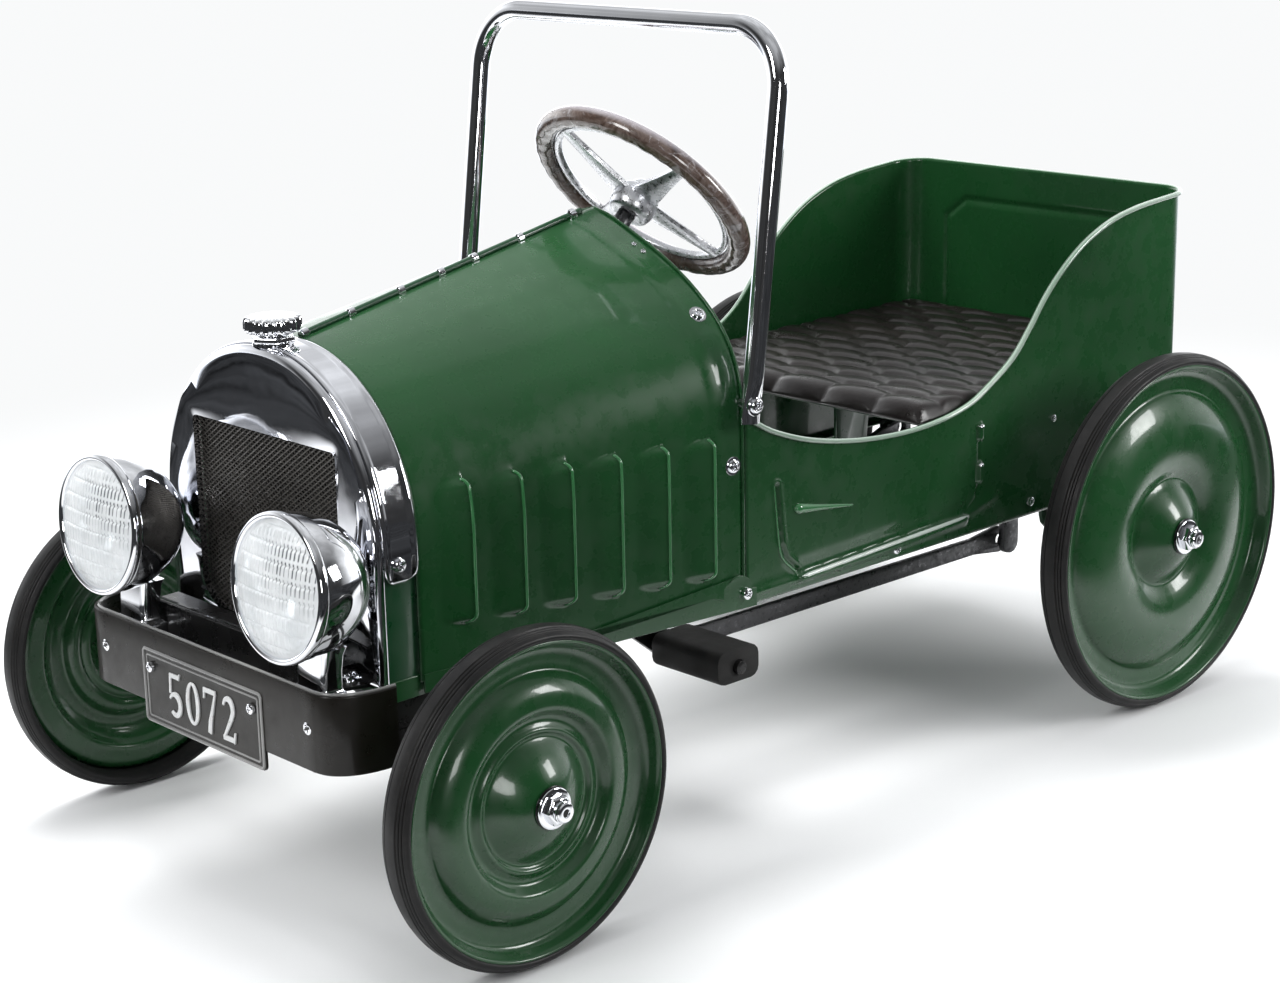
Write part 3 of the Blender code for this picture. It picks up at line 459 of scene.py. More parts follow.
# tyre: black rubber with a fine mould texture, a dry bloom on the ribs and dust in the grooves
TYRE, nt, p = new_mat("tyre_finish")
v = coords(nt)
col = ramp(nt, noise_of(nt, v, 34.0, 5.0, 0.6), [(0.30, (0.0085, 0.0085, 0.0090)), (0.70, (0.0185, 0.0180, 0.0178))])
col = mix(nt, span(nt, noise_of(nt, v, 220.0, 6.0, 0.7), 0.0, 0.35, 0.50, 0.75), col, (0.038, 0.036, 0.035))
col = mix(nt, pointiness(nt, 0.49, 0.42), col, (0.050, 0.045, 0.040))
nt.links.new(col, p.inputs["Base Color"])
nt.links.new(span(nt, noise_of(nt, v, 60.0, 3.0, 0.5), 0.32, 0.52, 0.3, 0.7), p.inputs["Roughness"])
p.inputs["Specular IOR Level"].default_value = 0.22
nt.links.new(bump(nt, noise_of(nt, v, 1400.0, 3.0, 0.6), 0.18, 0.0003), p.inputs["Normal"])

# pedal rubber: duller, scuffed
PAD, nt, p = new_mat("pedal_rubber_finish")
v = coords(nt)
col = ramp(nt, noise_of(nt, v, 45.0, 6.0, 0.65), [(0.30, (0.010, 0.010, 0.010)), (0.72, (0.032, 0.031, 0.030))])
nt.links.new(col, p.inputs["Base Color"])
nt.links.new(span(nt, noise_of(nt, v, 90.0, 3.0, 0.5), 0.50, 0.78, 0.3, 0.7), p.inputs["Roughness"])
p.inputs["Specular IOR Level"].default_value = 0.22
nt.links.new(bump(nt, noise_of(nt, v, 900.0, 3.0, 0.6), 0.30, 0.0004), p.inputs["Normal"])

# vinyl: cell grain with creases, brown-black, gloss that varies, with painted shade in the hollows and a painted
# highlight on the raised parts
VINYL, nt, p = new_mat("vinyl_finish")
v = coords(nt)
cells = node(nt, "ShaderNodeTexVoronoi", {"Vector": v, "Scale": 620.0}, feature="DISTANCE_TO_EDGE").outputs["Distance"]
tone = noise_of(nt, v, 12.0, 5.0, 0.6)
col = ramp(nt, tone, [(0.28, (0.0065, 0.0052, 0.0052)), (0.55, (0.0115, 0.0088, 0.0084)), (0.78, (0.0190, 0.0145, 0.0135))])
# painted shade: hollows of the pad are darkened
col = mix(nt, pointiness(nt, 0.50, 0.42), col, (0.0045, 0.0038, 0.0038))
# painted highlight: raised parts of the pad are lightened
col = mix(nt, span(nt, pointiness(nt, 0.52, 0.60), 0.0, 0.35), col, (0.060, 0.050, 0.047))
nt.links.new(col, p.inputs["Base Color"])
nt.links.new(span(nt, noise_of(nt, v, 40.0, 4.0, 0.6), 0.24, 0.44, 0.3, 0.7), p.inputs["Roughness"])
p.inputs["Coat Weight"].default_value = 0.30
p.inputs["Coat Roughness"].default_value = 0.14
p.inputs["Specular IOR Level"].default_value = 0.32
n = bump(nt, span(nt, cells, 0.0, 1.0, 0.0, 0.22), 0.22, 0.0003)
n = bump(nt, noise_of(nt, v, 130.0, 4.0, 0.6), 0.22, 0.0009, n)
nt.links.new(n, p.inputs["Normal"])

# marbled rim: swirls of brown, taupe and pale grey under a clear gloss
MARBLE, nt, p = new_mat("marbled_rim_finish")
v = coords(nt)
swirl = noise_of(nt, v, 34.0, 6.0, 0.62, 1.6)
col = ramp(nt, swirl, [(0.30, (0.030, 0.016, 0.012)), (0.43, (0.085, 0.052, 0.040)), (0.52, (0.17, 0.125, 0.108)), (0.60, (0.085, 0.055, 0.045)), (0.70, (0.40, 0.37, 0.38)), (0.80, (0.16, 0.12, 0.11))])
veins = noise_of(nt, v, 95.0, 5.0, 0.6, 2.2)
col = mix(nt, span(nt, veins, 0.0, 0.5, 0.58, 0.66), col, (0.42, 0.39, 0.40))
# painted highlight: the colour turns pale where the rim faces up and back, a glare baked into the colour
skyward = node(nt, "ShaderNodeVectorMath", {0: node(nt, "ShaderNodeNewGeometry").outputs["Normal"], 1: (-0.25, 0.0, 0.97)}, operation="DOT_PRODUCT").outputs["Value"]
col = mix(nt, span(nt, skyward, 0.0, 0.62, 0.35, 0.95), col, (0.60, 0.58, 0.64))
nt.links.new(col, p.inputs["Base Color"])
nt.links.new(span(nt, veins, 0.16, 0.30, 0.3, 0.7), p.inputs["Roughness"])
p.inputs["Coat Weight"].default_value = 0.9
p.inputs["Coat Roughness"].default_value = 0.04
nt.links.new(bump(nt, noise_of(nt, v, 60.0, 2.0, 0.5), 0.05, 0.0006), p.inputs["Normal"])

NYLON, nt, p = new_mat("nylon_finish")
v = coords(nt)
nt.links.new(ramp(nt, noise_of(nt, v, 60.0, 4.0, 0.6), [(0.3, (0.52, 0.50, 0.44)), (0.7, (0.72, 0.70, 0.65))]), p.inputs["Base Color"])
nt.links.new(span(nt, noise_of(nt, v, 200.0, 3.0, 0.5), 0.35, 0.55, 0.3, 0.7), p.inputs["Roughness"])
p.inputs["Subsurface Weight"].default_value = 0.1
p.inputs["Subsurface Scale"].default_value = 0.002

# plate digits: satin white paint with slight wear
WHITE, nt, p = new_mat("white_paint_finish")
v = coords(nt)
nt.links.new(ramp(nt, noise_of(nt, v, 260.0, 5.0, 0.65), [(0.28, (0.55, 0.55, 0.54)), (0.42, (0.84, 0.85, 0.85)), (0.7, (0.90, 0.91, 0.92))]), p.inputs["Base Color"])
nt.links.new(span(nt, noise_of(nt, v, 120.0, 3.0, 0.5), 0.28, 0.45, 0.3, 0.7), p.inputs["Roughness"])
nt.links.new(bump(nt, noise_of(nt, v, 700.0, 2.0, 0.5), 0.08, 0.0002), p.inputs["Normal"])

# ribbed lamp glass: clear enough to show the reflector, milky, with a painted glow outside the flutes and painted shade
# as dark flute lines in one upper zone of the lens
GLASS = bpy.data.materials.new("lamp_glass_finish")
GLASS.use_nodes = True
nt = GLASS.node_tree
p = nt.nodes["Principled BSDF"]
v = coords(nt)
cloud = noise_of(nt, v, 28.0, 3.0, 0.6)


def sums(op, x, y=0.0):
    return node(nt, "ShaderNodeMath", {0: x, 1: y}, operation=op).outputs[0]


at3 = node(nt, "ShaderNodeSeparateXYZ", {"Vector": v})
across = sums("SUBTRACT", at3.outputs["Y"], sums("MULTIPLY", sums("SIGN", at3.outputs["Y"]), 0.0937))
rise = sums("SUBTRACT", at3.outputs["Z"], 0.2231)
rib = span(nt, sums("ABSOLUTE", sums("SINE", sums("MULTIPLY", across, math.pi / 0.0033))), 1.0, 0.0, 0.10, 0.55)
gap = span(nt, sums("ABSOLUTE", sums("SINE", sums("MULTIPLY", rise, math.pi / 0.0098))), 0.0, 1.0, 0.18, 0.42)
zone = sums("MULTIPLY", span(nt, rise, 0.0, 1.0, -0.012, 0.008), span(nt, across, 0.0, 1.0, -0.014, 0.002))
zone = sums("MULTIPLY", zone, span(nt, rise, 1.0, 0.0, 0.026, 0.036))
painted_flute_shade = sums("MULTIPLY", sums("MULTIPLY", rib, gap), zone)
# painted shade: dark lines in the flutes, only in an upper zone of each lens
nt.links.new(mix(nt, painted_flute_shade, (0.95, 0.96, 0.965), (0.06, 0.065, 0.075)), p.inputs["Base Color"])
nt.links.new(span(nt, cloud, 0.04, 0.12, 0.3, 0.7), p.inputs["Roughness"])
p.inputs["IOR"].default_value = 1.46
p.inputs["Transmission Weight"].default_value = 0.10
p.inputs["Emission Color"].default_value = (0.93, 0.97, 1.0, 1)
# painted glow: the unlit glass emits a little light except in the dark flute lines
nt.links.new(span(nt, painted_flute_shade, 0.16, 0.0), p.inputs["Emission Strength"])
p.inputs["Coat Weight"].default_value = 0.5
nt.links.new(bump(nt, noise_of(nt, v, 500.0, 3.0, 0.5), 0.06, 0.0003), p.inputs["Normal"])
clear = node(nt, "ShaderNodeBsdfTransparent", {"Color": (0.93, 0.95, 0.96, 1)}).outputs[0]
blend = node(nt, "ShaderNodeMixShader", {0: sums("MAXIMUM", span(nt, cloud, 0.46, 0.74, 0.35, 0.65), sums("MULTIPLY", painted_flute_shade, 0.92))})
nt.links.new(clear, blend.inputs[1])
nt.links.new(p.outputs[0], blend.inputs[2])
nt.links.new(blend.outputs[0], nt.nodes["Material Output"].inputs["Surface"])

REFLECTOR = plated("reflector_finish", (0.93, 0.94, 0.95), 0.07, wave=0.15)

# ------------------------------------------------------------------ body tub
RIM = [(0.3570, 0.2680), (0.3470, 0.2620), (0.3300, 0.2530), (0.3020, 0.2430), (0.2706, 0.2358), (0.2380, 0.2312),
       (0.2015, 0.2292), (0.1675, 0.2310), (0.1406, 0.2360), (0.1210, 0.2445), (0.0940, 0.2606), (0.0745, 0.2805),
       (0.0590, 0.2985), (0.0390, 0.3160), (0.0150, 0.3310), (-0.0140, 0.3420), (-0.0440, 0.3475), (-0.0750, 0.3500),
       (-0.0990, 0.3515)]
rim_line = smooth_line(RIM, 10)
rim_x = np.array([q[0] for q in rim_line])[::-1]
rim_zs = np.array([q[1] for q in rim_line])[::-1]


def rim_z(x):
    return float(np.interp(x, rim_x, rim_zs))


DOOR = [(0.328, 0.216), (0.3235, 0.176), (0.319, 0.165), (0.308, 0.155)]
DOOR_BACK = [(0.127, 0.2080), (0.127, 0.1760), (0.1300, 0.1660), (0.1416, 0.1580)]
LEDGE = ((0.3074, 0.1525), (0.1416, 0.1580))


def side_emboss(x, z):
    """How far the pressed shape of the side stands out of its plane."""
    d = dist_to(x, z, DOOR)
    h = -0.0016 * np.exp(-(d / 0.0014) ** 2) + 0.0008 * np.exp(-((d - 0.0032) / 0.0014) ** 2)
    d = dist_to(x, z, DOOR_BACK)
    h = h - 0.0011 * np.exp(-(d / 0.0011) ** 2)
    (ax, az), (bx, bz) = LEDGE
    s = az + (bz - az) * (x - ax) / (bx - ax) - z
    window = smoothstep(bx - 0.004, bx + 0.001, x) * (1 - smoothstep(ax - 0.001, ax + 0.004, x))
    h = h + window * (0.0032 * smoothstep(-0.0001, 0.0015, s) * (1 - smoothstep(0.0028, 0.0105, s)) - 0.0009 * np.exp(-((s + 0.0035) / 0.0045) ** 2))
    # hinge barrels
    for z0, z1 in ((0.2095, 0.2176), (0.1795, 0.1900)):
        d = dist_to(x, z, [(0.1270, z0), (0.1270, z1)])
        h = h + 0.0030 * np.sqrt(np.clip(1 - (d / 0.0030) ** 2, 0, 1))
    # soft swage above the lower edge, broken by a slanting crease ahead of the rear wheel
    d = dist_to(x, z, [(0.345, 0.1490), (0.212, 0.1490), (0.152, 0.1545), (0.110, 0.1640)])
    h = h + 0.0010 * np.exp(-(d / 0.0035) ** 2)
    return h


PANEL = [(-0.0744, 0.3235), (0.0744, 0.3235), (0.0930, 0.3090), (0.0930, 0.2070), (-0.0930, 0.2070), (-0.0930, 0.3090), (-0.0744, 0.3235)]


def rear_emboss(y, z):
    d = dist_to(y, z, PANEL)
    return 0.0016 * np.exp(-(d / 0.0020) ** 2)


xs = list(np.arange(0.3565, 0.3340, -0.0030)) + list(np.arange(0.3340, 0.1150, -0.0011)) + list(np.arange(0.1150, REAR_X + 0.0215, -0.0045)) + [REAR_X + 0.0200]
path = [(x, BODY_Y, 0.0, 1.0, rim_z(x), x) for x in xs]
cr = 0.0200
for k in range(1, 9):
    a = math.pi / 2 * k / 9
    path.append((REAR_X + cr - cr * math.sin(a), BODY_Y - cr + cr * math.cos(a), -math.sin(a), math.cos(a), lerp(rim_z(REAR_X + cr), REAR_Z, k / 9), None))
ys = np.linspace(BODY_Y - cr, -(BODY_Y - cr), 150)
rear_path = [(REAR_X, float(y), -1.0, 0.0, REAR_Z, None) for y in ys]
path = path + rear_path + [(x, -y, nx, -ny, z, u) for x, y, nx, ny, z, u in reversed(path)]
ROLL = 0.0034
verts = []
rows = 96
for x, y, nx, ny, top, u in path:
    col = [(-ROLL - 0.0070, BODY_Z0)]
    for k in range(6):
        a = -math.pi / 2 + math.pi / 2 * k / 5
        col.append((-ROLL + ROLL * math.cos(a), BODY_Z0 + ROLL + ROLL * math.sin(a)))
    zz = np.linspace(BODY_Z0 + ROLL, top, rows)[1:]
    if u is not None:
        h = side_emboss(np.full(len(zz), u), zz)
    elif nx < -0.999:
        h = rear_emboss(np.full(len(zz), y), zz)
    else:
        h = np.zeros(len(zz))
    fade = smoothstep(0.0, 0.004, zz - BODY_Z0 - ROLL) * smoothstep(0.0, 0.005, top - zz)
    col += [(float(a * f), float(b)) for a, f, b in zip(h, fade, zz)]
    verts += [(x + nx * d, y + ny * d, z) for d, z in col]
nr = 6 + rows
faces = grid_faces(len(path), nr)
tub = make("tub_skin", (verts, [q[::-1] for q in faces]), ROOT, GREEN, ("body_tub",), sharp=50, closed=False)
# normals out: the first side column's faces look to +y
side_face = tub.data.polygons[nr // 2]
if side_face.normal.y < 0:
    tub.data.flip_normals()
s = tub.modifiers.new("gauge", "SOLIDIFY")
s.thickness, s.offset = 0.0013, -1.0

# rolled wire edge round the cockpit, in pale green as a painted highlight
rim3 = []
for x, z in [q for q in smooth_line(RIM, 5) if q[0] > REAR_X + 0.0205]:
    rim3.append((x, BODY_Y + 0.0009, z - 0.0012))
for k in range(1, 9):
    a = math.pi / 2 * k / 9
    c = cr + 0.0009
    rim3.append((REAR_X + cr - c * math.sin(a), BODY_Y - cr + c * math.cos(a), lerp(rim_z(REAR_X + cr), REAR_Z, k / 9) - 0.0012))
rim3.append((REAR_X - 0.0009, BODY_Y - cr, REAR_Z - 0.0012))
half = rim3 + [(REAR_X - 0.0009, y, REAR_Z - 0.0012) for y in (0.09, 0.045)]
full = half + [(REAR_X - 0.0009, 0.0, REAR_Z - 0.0012)] + [(x, -y, z) for x, y, z in reversed(half)]
make("tub_rolled_edge", sweep(full, 0.0017, seg=16), ROOT, RIM_PAINTED_HIGHLIGHT)
# pale crest along each door ledge, its near-white colour a painted highlight
crests = []
for s in (1, -1):
    (ax, az), (bx, bz) = LEDGE
    crests.append(sweep([(lerp(ax, bx, k / 30), s * (BODY_Y + 0.0026), lerp(az, bz, k / 30) - 0.0014) for k in range(31)], lambda f: 0.0014 * (0.4 + 0.6 * min(1.0, f / 0.04, (1 - f) / 0.04)), seg=12))
make("door_ledge_crest", merge(*crests), ROOT, LEDGE_PAINTED_HIGHLIGHT, sharp=60)
# thumb latch of each door, a tapering teardrop lying on the sheet, in pale green as a painted highlight
latches = []
for s in (1, -1):
    ends = [(lerp(0.3120, 0.2560, k / 40), s * (BODY_Y + 0.0003), lerp(0.1974, 0.1885, k / 40)) for k in range(41)]
    latches.append(sweep(ends, lambda f: lerp(0.0030, 0.0008, f ** 0.7) * math.sqrt(min(1.0, f / 0.07 + 0.02, (1 - f) / 0.02 + 0.05)), lambda f: lerp(0.0043, 0.0008, f ** 0.6) * math.sqrt(min(1.0, f / 0.07 + 0.02, (1 - f) / 0.02 + 0.05)), seg=20))
make("door_latch", merge(*latches), ROOT, GREEN_PAINTED_HIGHLIGHT, sharp=60)
# thin crest along the front edge of each door, in pale green as a painted highlight
crests = []
for s in (1, -1):
    crests.append(sweep([(x + 0.0030, s * (BODY_Y + 0.0005), z) for x, z in smooth_line(DOOR, 8)], lambda f: 0.0007 * (0.4 + 0.6 * min(1.0, f / 0.05, (1 - f) / 0.05)), seg=8, up=(0, 1, 0)))
make("door_front_crest", merge(*crests), ROOT, GREEN_PAINTED_HIGHLIGHT, sharp=60)
pins = []
for s in (1, -1):
    for z in (0.2180, 0.1905):
        pins.append(lathe([(0.0, 0.0016), (0.0012, 0.0014), (0.0021, 0.0004), (0.0022, -0.0010), (0.0, -0.0014)], (0.1270, s * (BODY_Y + 0.0016), z), (0, 0, 1), 20))
make("door_hinge_pins", merge(*pins), ROOT, CHROME, sharp=60)

# low rails that run forward under the hood, each ending in a round tab over the hood
hood_half = lambda x: lerp(BODY_Y - 0.0005, RAD_W, (x - HOOD_X0) / (HOOD_X1 - HOOD_X0))
for s, side in ((1, "L"), (-1, "R")):
    outline = [(0.6020, 0.1410), (0.6020, 0.1525), (0.3860, 0.1532)]
    for k in range(13):
        a = math.radians(-20 + 200 * k / 12)
        outline.append((0.3640 + 0.0120 * math.cos(a), 0.1535 + 0.0105 * math.sin(a) + 0.0))
    outline += [(0.3480, 0.1530), (0.3480, 0.1410)]
    bm = bmesh.new()
    ring = [bm.verts.new((x, 0, z)) for x, z in outline]
    f = bm.faces.new(ring)
    bmesh.ops.triangulate(bm, faces=[f])
    vv = [(v.co.x, v.co.z) for v in bm.verts]
    ff = [tuple(v.index for v in q.verts) for q in bm.faces]
    bm.verts.index_update()
    ff = [tuple(v.index for v in q.verts) for q in bm.faces]
    bm.free()
    m = len(vv)
    pts, fcs = [], []
    for layer in (0.0017, 0.0004):
        for x, z in vv:
            pts.append((x, s * (min(hood_half(x), BODY_Y - 0.0004) + layer), z))
    fcs += ff + [tuple(i + m for i in reversed(q)) for q in ff]
    fcs += [(i, (i + 1) % m, (i + 1) % m + m, i + m) for i in range(m)]
    make("tub_rail_" + side, (pts, fcs), ROOT, GREEN, sharp=30, bevel=0.0004)

# ------------------------------------------------------------------ hood
REAR_HALF = [(0.1320, SKIRT), (0.1320, 0.1700), (0.1320, 0.2000), (0.1320, 0.2300), (0.1320, 0.2600), (0.1308, 0.2860), (0.1240, 0.3070), (0.1110, 0.3260),
             (0.0930, 0.3420), (0.0750, 0.3540), (0.0570, 0.3635), (0.0390, 0.3715), (0.0200, 0.3795), (0.0, 0.3862)]


def arch(w, top, z0, zb, n=2.1, steps=60):
    pts = [(w, zb)]
    for i in range(steps + 1):
        t = math.pi / 2 * i / steps
        pts.append((w * abs(math.cos(t)) ** (2 / n), z0 + (top - z0) * abs(math.sin(t)) ** (2 / n)))
    return pts


def by_length(pts, shares):
    p = np.array(pts, float)
    run = np.concatenate([[0], np.cumsum(np.hypot(*np.diff(p, axis=0).T))])
    s = np.array(shares) * run[-1]
    return np.stack([np.interp(s, run, p[:, 0]), np.interp(s, run, p[:, 1])], 1)


SHARES = np.concatenate([np.linspace(0, 0.40, 100), np.linspace(0.40, 1.0, 62)[1:]])
rear_sec = by_length(smooth_line(REAR_HALF, 10), SHARES)
front_sec = by_length(arch(RAD_W, RAD_TOP - 0.0004, RAD_Z, SKIRT, steps=200), SHARES)
LOUVRES = [(0.5660 - 0.0362 * k, lerp(0.1775, 0.1660, k / 5), lerp(0.2645, 0.2575, k / 5)) for k in range(6)]
LIFT, REACH = 0.0050, 0.0215


def louvre_height(x, z):
    h = np.zeros(np.broadcast(x, z).shape)
    for xk, zb, zt in LOUVRES:
        e = np.minimum(z - zb, zt - z)
        r = 0.0060
        end = np.where(e >= r, 1.0, np.sqrt(np.clip(1 - ((r - np.clip(e, 0, r)) / r) ** 2, 0, 1)))
        reach = REACH * (0.25 + 0.75 * end)
        t = np.clip((x - xk) / reach, 0, 1)
        body = (1 - t) ** 1.35 * (1 + 0.35 * t)
        h = np.where((x >= xk - 1e-6) & (e > 0), np.maximum(h, LIFT * end * body), h)
    return h


cols_x = set(np.round(np.linspace(HOOD_X0, HOOD_X1, 60), 5))
for xk, _, _ in LOUVRES:
    cols_x = {x for x in cols_x if not xk - 0.0012 < x < xk + REACH}
    cols_x |= {round(xk - 0.0009, 6), round(xk - 0.0003, 6), round(xk, 6)} | {round(xk + d, 6) for d in (0.0004, 0.0009, 0.0016, 0.0026, 0.0040, 0.0056, 0.0074, 0.0094, 0.0116, 0.0140, 0.0166, 0.0192, REACH)}
cols_x = sorted(cols_x)
lips = {i for i, x in enumerate(cols_x) if any(abs(x - (xk - 0.0003)) < 1e-7 for xk, _, _ in LOUVRES)}


def hood_sec(x):
    t = (x - HOOD_X0) / (HOOD_X1 - HOOD_X0)
    return rear_sec * (1 - t) + front_sec * t


verts, height = [], []
n_half = len(SHARES)
nr = 2 * n_half - 1
for x in cols_x:
    sec = hood_sec(x)
    d = np.gradient(sec, axis=0)
    ln = np.hypot(d[:, 0], d[:, 1])
    ny, nz = d[:, 1] / ln, -d[:, 0] / ln
    h = louvre_height(np.full(n_half, x), sec[:, 1])
    # the soft lip of the cowl, a shallow ridge near the rear edge of the hood
    soft = 0.0007 * math.exp(-((x - HOOD_X0 - 0.021) / 0.0035) ** 2)
    y, z = sec[:, 0] + ny * (h + soft), sec[:, 1] + nz * (h + soft)
    left = [(x, float(a), float(b)) for a, b in zip(y, z)]
    left[-1] = (x, 0.0, left[-1][2])
    verts += left + [(x, -a, b) for _, a, b in reversed(left[:-1])]
    height += list(h) + list(h[::-1][1:])


def open_slot(c, r):
    if c not in lips:
        return False
    return min(height[(c + 1) * nr + r], height[(c + 1) * nr + r + 1]) > 0.0012


faces = grid_faces(len(cols_x), nr, open_slot)
hood = make("hood_skin", (verts, faces), ROOT, GREEN, ("hood",), sharp=45, closed=False)
if hood.data.polygons[nr // 4].normal.y < 0:
    hood.data.flip_normals()
s = hood.modifiers.new("gauge", "SOLIDIFY")
s.thickness, s.offset = 0.0009, -1.0

# rolled lips of the louvres, turning forward at both ends, in pale green as a painted highlight
beads = []
for xk, zb, zt in LOUVRES:
    pts = []
    for k in range(61):
        f = k / 60
        z = lerp(zt - 0.0002, zb + 0.0002, 0.5 - 0.5 * math.cos(math.pi * f))
        e = min(z - zb, zt - z)
        q = max(0.0, 0.0060 - e) / 0.0060
        x = xk + 0.0002 + (0.0075 if z < (zb + zt) / 2 else 0.0035) * (1 - math.sqrt(max(0.0, 1 - q * q)))
        sec = hood_sec(x)
        i = min(max(int(np.argmin(abs(sec[:, 1] - z))), 1), n_half - 2)
        y = float(np.interp(z, sec[:, 1], sec[:, 0]))
        d = sec[i + 1] - sec[i - 1]
        ln = math.hypot(d[0], d[1])
        h = float(louvre_height(np.array([x]), np.array([z]))[0]) + 0.0001
        pts.append((x, y + d[1] / ln * h, z - d[0] / ln * h))
    for s in (1, -1):
        beads.append(sweep([(x, s * y, z) for x, y, z in pts], lambda f: 0.0010 * (0.45 + 0.55 * min(1.0, f / 0.03, (1 - f) / 0.10)), seg=10, up=(1, 0, 0)))
make("louvre_lips", merge(*beads), ROOT, GREEN_PAINTED_HIGHLIGHT, sharp=60)

# bright hem along the rear edge of the hood
edge = [(HOOD_X0 + 0.0004, float(a) + 0.0002, float(b)) for a, b in hood_sec(HOOD_X0)[::3]]
edge[-1] = (edge[-1][0], 0.0, edge[-1][2])
make("hood_hem", sweep(edge + [(x, -y, z) for x, y, z in reversed(edge[:-1])], 0.0011, seg=10), ROOT, GREEN)


def on_hood(x, y=None, z=None, lift=0.0):
    """Point and outward normal on the hood's left side at x, by its y or z."""
    sec = hood_sec(x)
    i = int(np.argmin(abs(sec[:, 1] - z))) if z is not None else int(np.argmin(abs(sec[:, 0] - y)))
    i = min(max(i, 1), len(sec) - 2)
    d = sec[i + 1] - sec[i - 1]
    n = Vector((0, d[1], -d[0])).normalized()
    other = hood_sec(x + 0.004)[i]
    along = Vector((0.004, other[0] - sec[i][0], other[1] - sec[i][1]))
    n = along.cross(n.cross(along)).normalized() if False else (n - along.normalized() * n.dot(along.normalized())).normalized()
    return Vector((x, float(sec[i][0]), float(sec[i][1]))) + n * lift, n


# hinge rod along the ridge, with its barrels
ridge = []
for k in range(41):
    x = lerp(HOOD_X0 + 0.0130, HOOD_X1 - 0.0040, k / 40)
    ridge.append((x, 0.0, float(hood_sec(x)[-1][1]) + 0.0012))
parts = [sweep(ridge, 0.0021, seg=14, up=(0, 1, 0))]
make("ridge_hinge_rod", parts[0], ROOT, GREEN_IN, ("hood_hinge_moulding",))
beads = []
for x in (0.3790, 0.4240, 0.4623, 0.4895, 0.5217, 0.5607, 0.5960):
    z = float(hood_sec(x)[-1][1]) + 0.0012
    slope = math.atan((0.3862 - RAD_TOP) / (HOOD_X1 - HOOD_X0))
    d = Vector((math.cos(slope), 0, -math.sin(slope)))
    r = 0.0030 if x > 0.39 else 0.0036
    beads.append(lathe([(0.0, 0.0030), (r * 0.7, 0.0028), (r, 0.0020), (r, -0.0020), (r * 0.7, -0.0028), (0.0, -0.0030)], (x, 0, z), d, 24))
make("ridge_hinge_barrels", merge(*beads), ROOT, CHROME)

# ------------------------------------------------------------------ radiator
angles = np.linspace(-math.pi, math.pi, 361)[:-1]


def ray_out(outline, a, centre):
    """Where the ray at angle a from centre leaves a closed outline of (y, z)."""
    c, s = math.cos(a), math.sin(a)
    best = None
    for (ay, az), (by, bz) in zip(outline, outline[1:] + outline[:1]):
        ex, ez = by - ay, bz - az
        den = c * ez - s * ex
        if abs(den) < 1e-12:
            continue
        t = ((ay - centre[0]) * ez - (az - centre[1]) * ex) / den
        u = ((ay - centre[0]) * s - (az - centre[1]) * c) / den
        if t > 0 and -1e-9 <= u <= 1 + 1e-9 and (best is None or t > best):
            best = t
    return centre[0] + c * best, centre[1] + s * best


half_arch = arch(RAD_W, RAD_TOP, RAD_Z, 0.1500, steps=60)
shell_line = half_arch + [(-y, z) for y, z in reversed(half_arch[:-1])]
hole_line = rounded([(-0.0725, 0.2860), (-0.0725, 0.1650), (0.0725, 0.1650), (0.0725, 0.2860)], [0.004, 0.020, 0.020, 0.004], 8)
CEN = (0.0, 0.2220)
corner = [math.atan2(z - CEN[1], y - CEN[0]) for y, z in ((RAD_W, 0.1500), (-RAD_W, 0.1500), (0.0725, 0.286), (-0.0725, 0.286))]
angles = np.array(sorted(set(np.round(np.concatenate([angles, corner]), 6))))
outer = [ray_out(shell_line, a, CEN) for a in angles]
inner = [ray_out(hole_line, a, CEN) for a in angles]
loops = []
FIL = 0.0052
for depth, push in ((0.0052, -0.0010), (0.0030, -0.0012), (0.0010, -0.0009), (0.0, 0.0)):
    ring = []
    for (y, z) in inner:
        d = Vector((y - CEN[0], z - CEN[1])).normalized()
        ring.append((RAD_FRONT - depth, y - d.x * push, z - d.y * push))
    loops.append(ring)
for f in (0.12, 0.35, 0.6, 0.85):
    loops.append([(RAD_FRONT + 0.0008 * math.sin(math.pi * f), lerp(a[0], b[0], f * 0.98), lerp(a[1], b[1], f * 0.98)) for a, b in zip(inner, outer)])
for k in range(9):
    a = math.pi / 2 * k / 8
    ring = []
    for (y, z) in outer:
        n = Vector((y - CEN[0], z - 0.205)).normalized()
        inset = FIL * (1 - math.sin(a))
        if z < 0.1502:
            inset *= 0.5
        ring.append((RAD_FRONT - FIL * (1 - math.cos(a)), y - n.x * inset, z - n.y * inset))
    loops.append(ring)
face_data = (sum(loops, []), [(i * len(angles) + j, i * len(angles) + (j + 1) % len(angles), (i + 1) * len(angles) + (j + 1) % len(angles), (i + 1) * len(angles) + j)
                              for i in range(len(loops) - 1) for j in range(len(angles))])
face = make("radiator_face", face_data, ROOT, CHROME_FLAT, ("radiator_shell",), sharp=55, closed=False)
if face.data.polygons[len(angles) * 5 + 90].normal.x < 0:
    face.data.flip_normals()
s = face.modifiers.new("gauge", "SOLIDIFY")
s.thickness, s.offset = 0.0010, -1.0

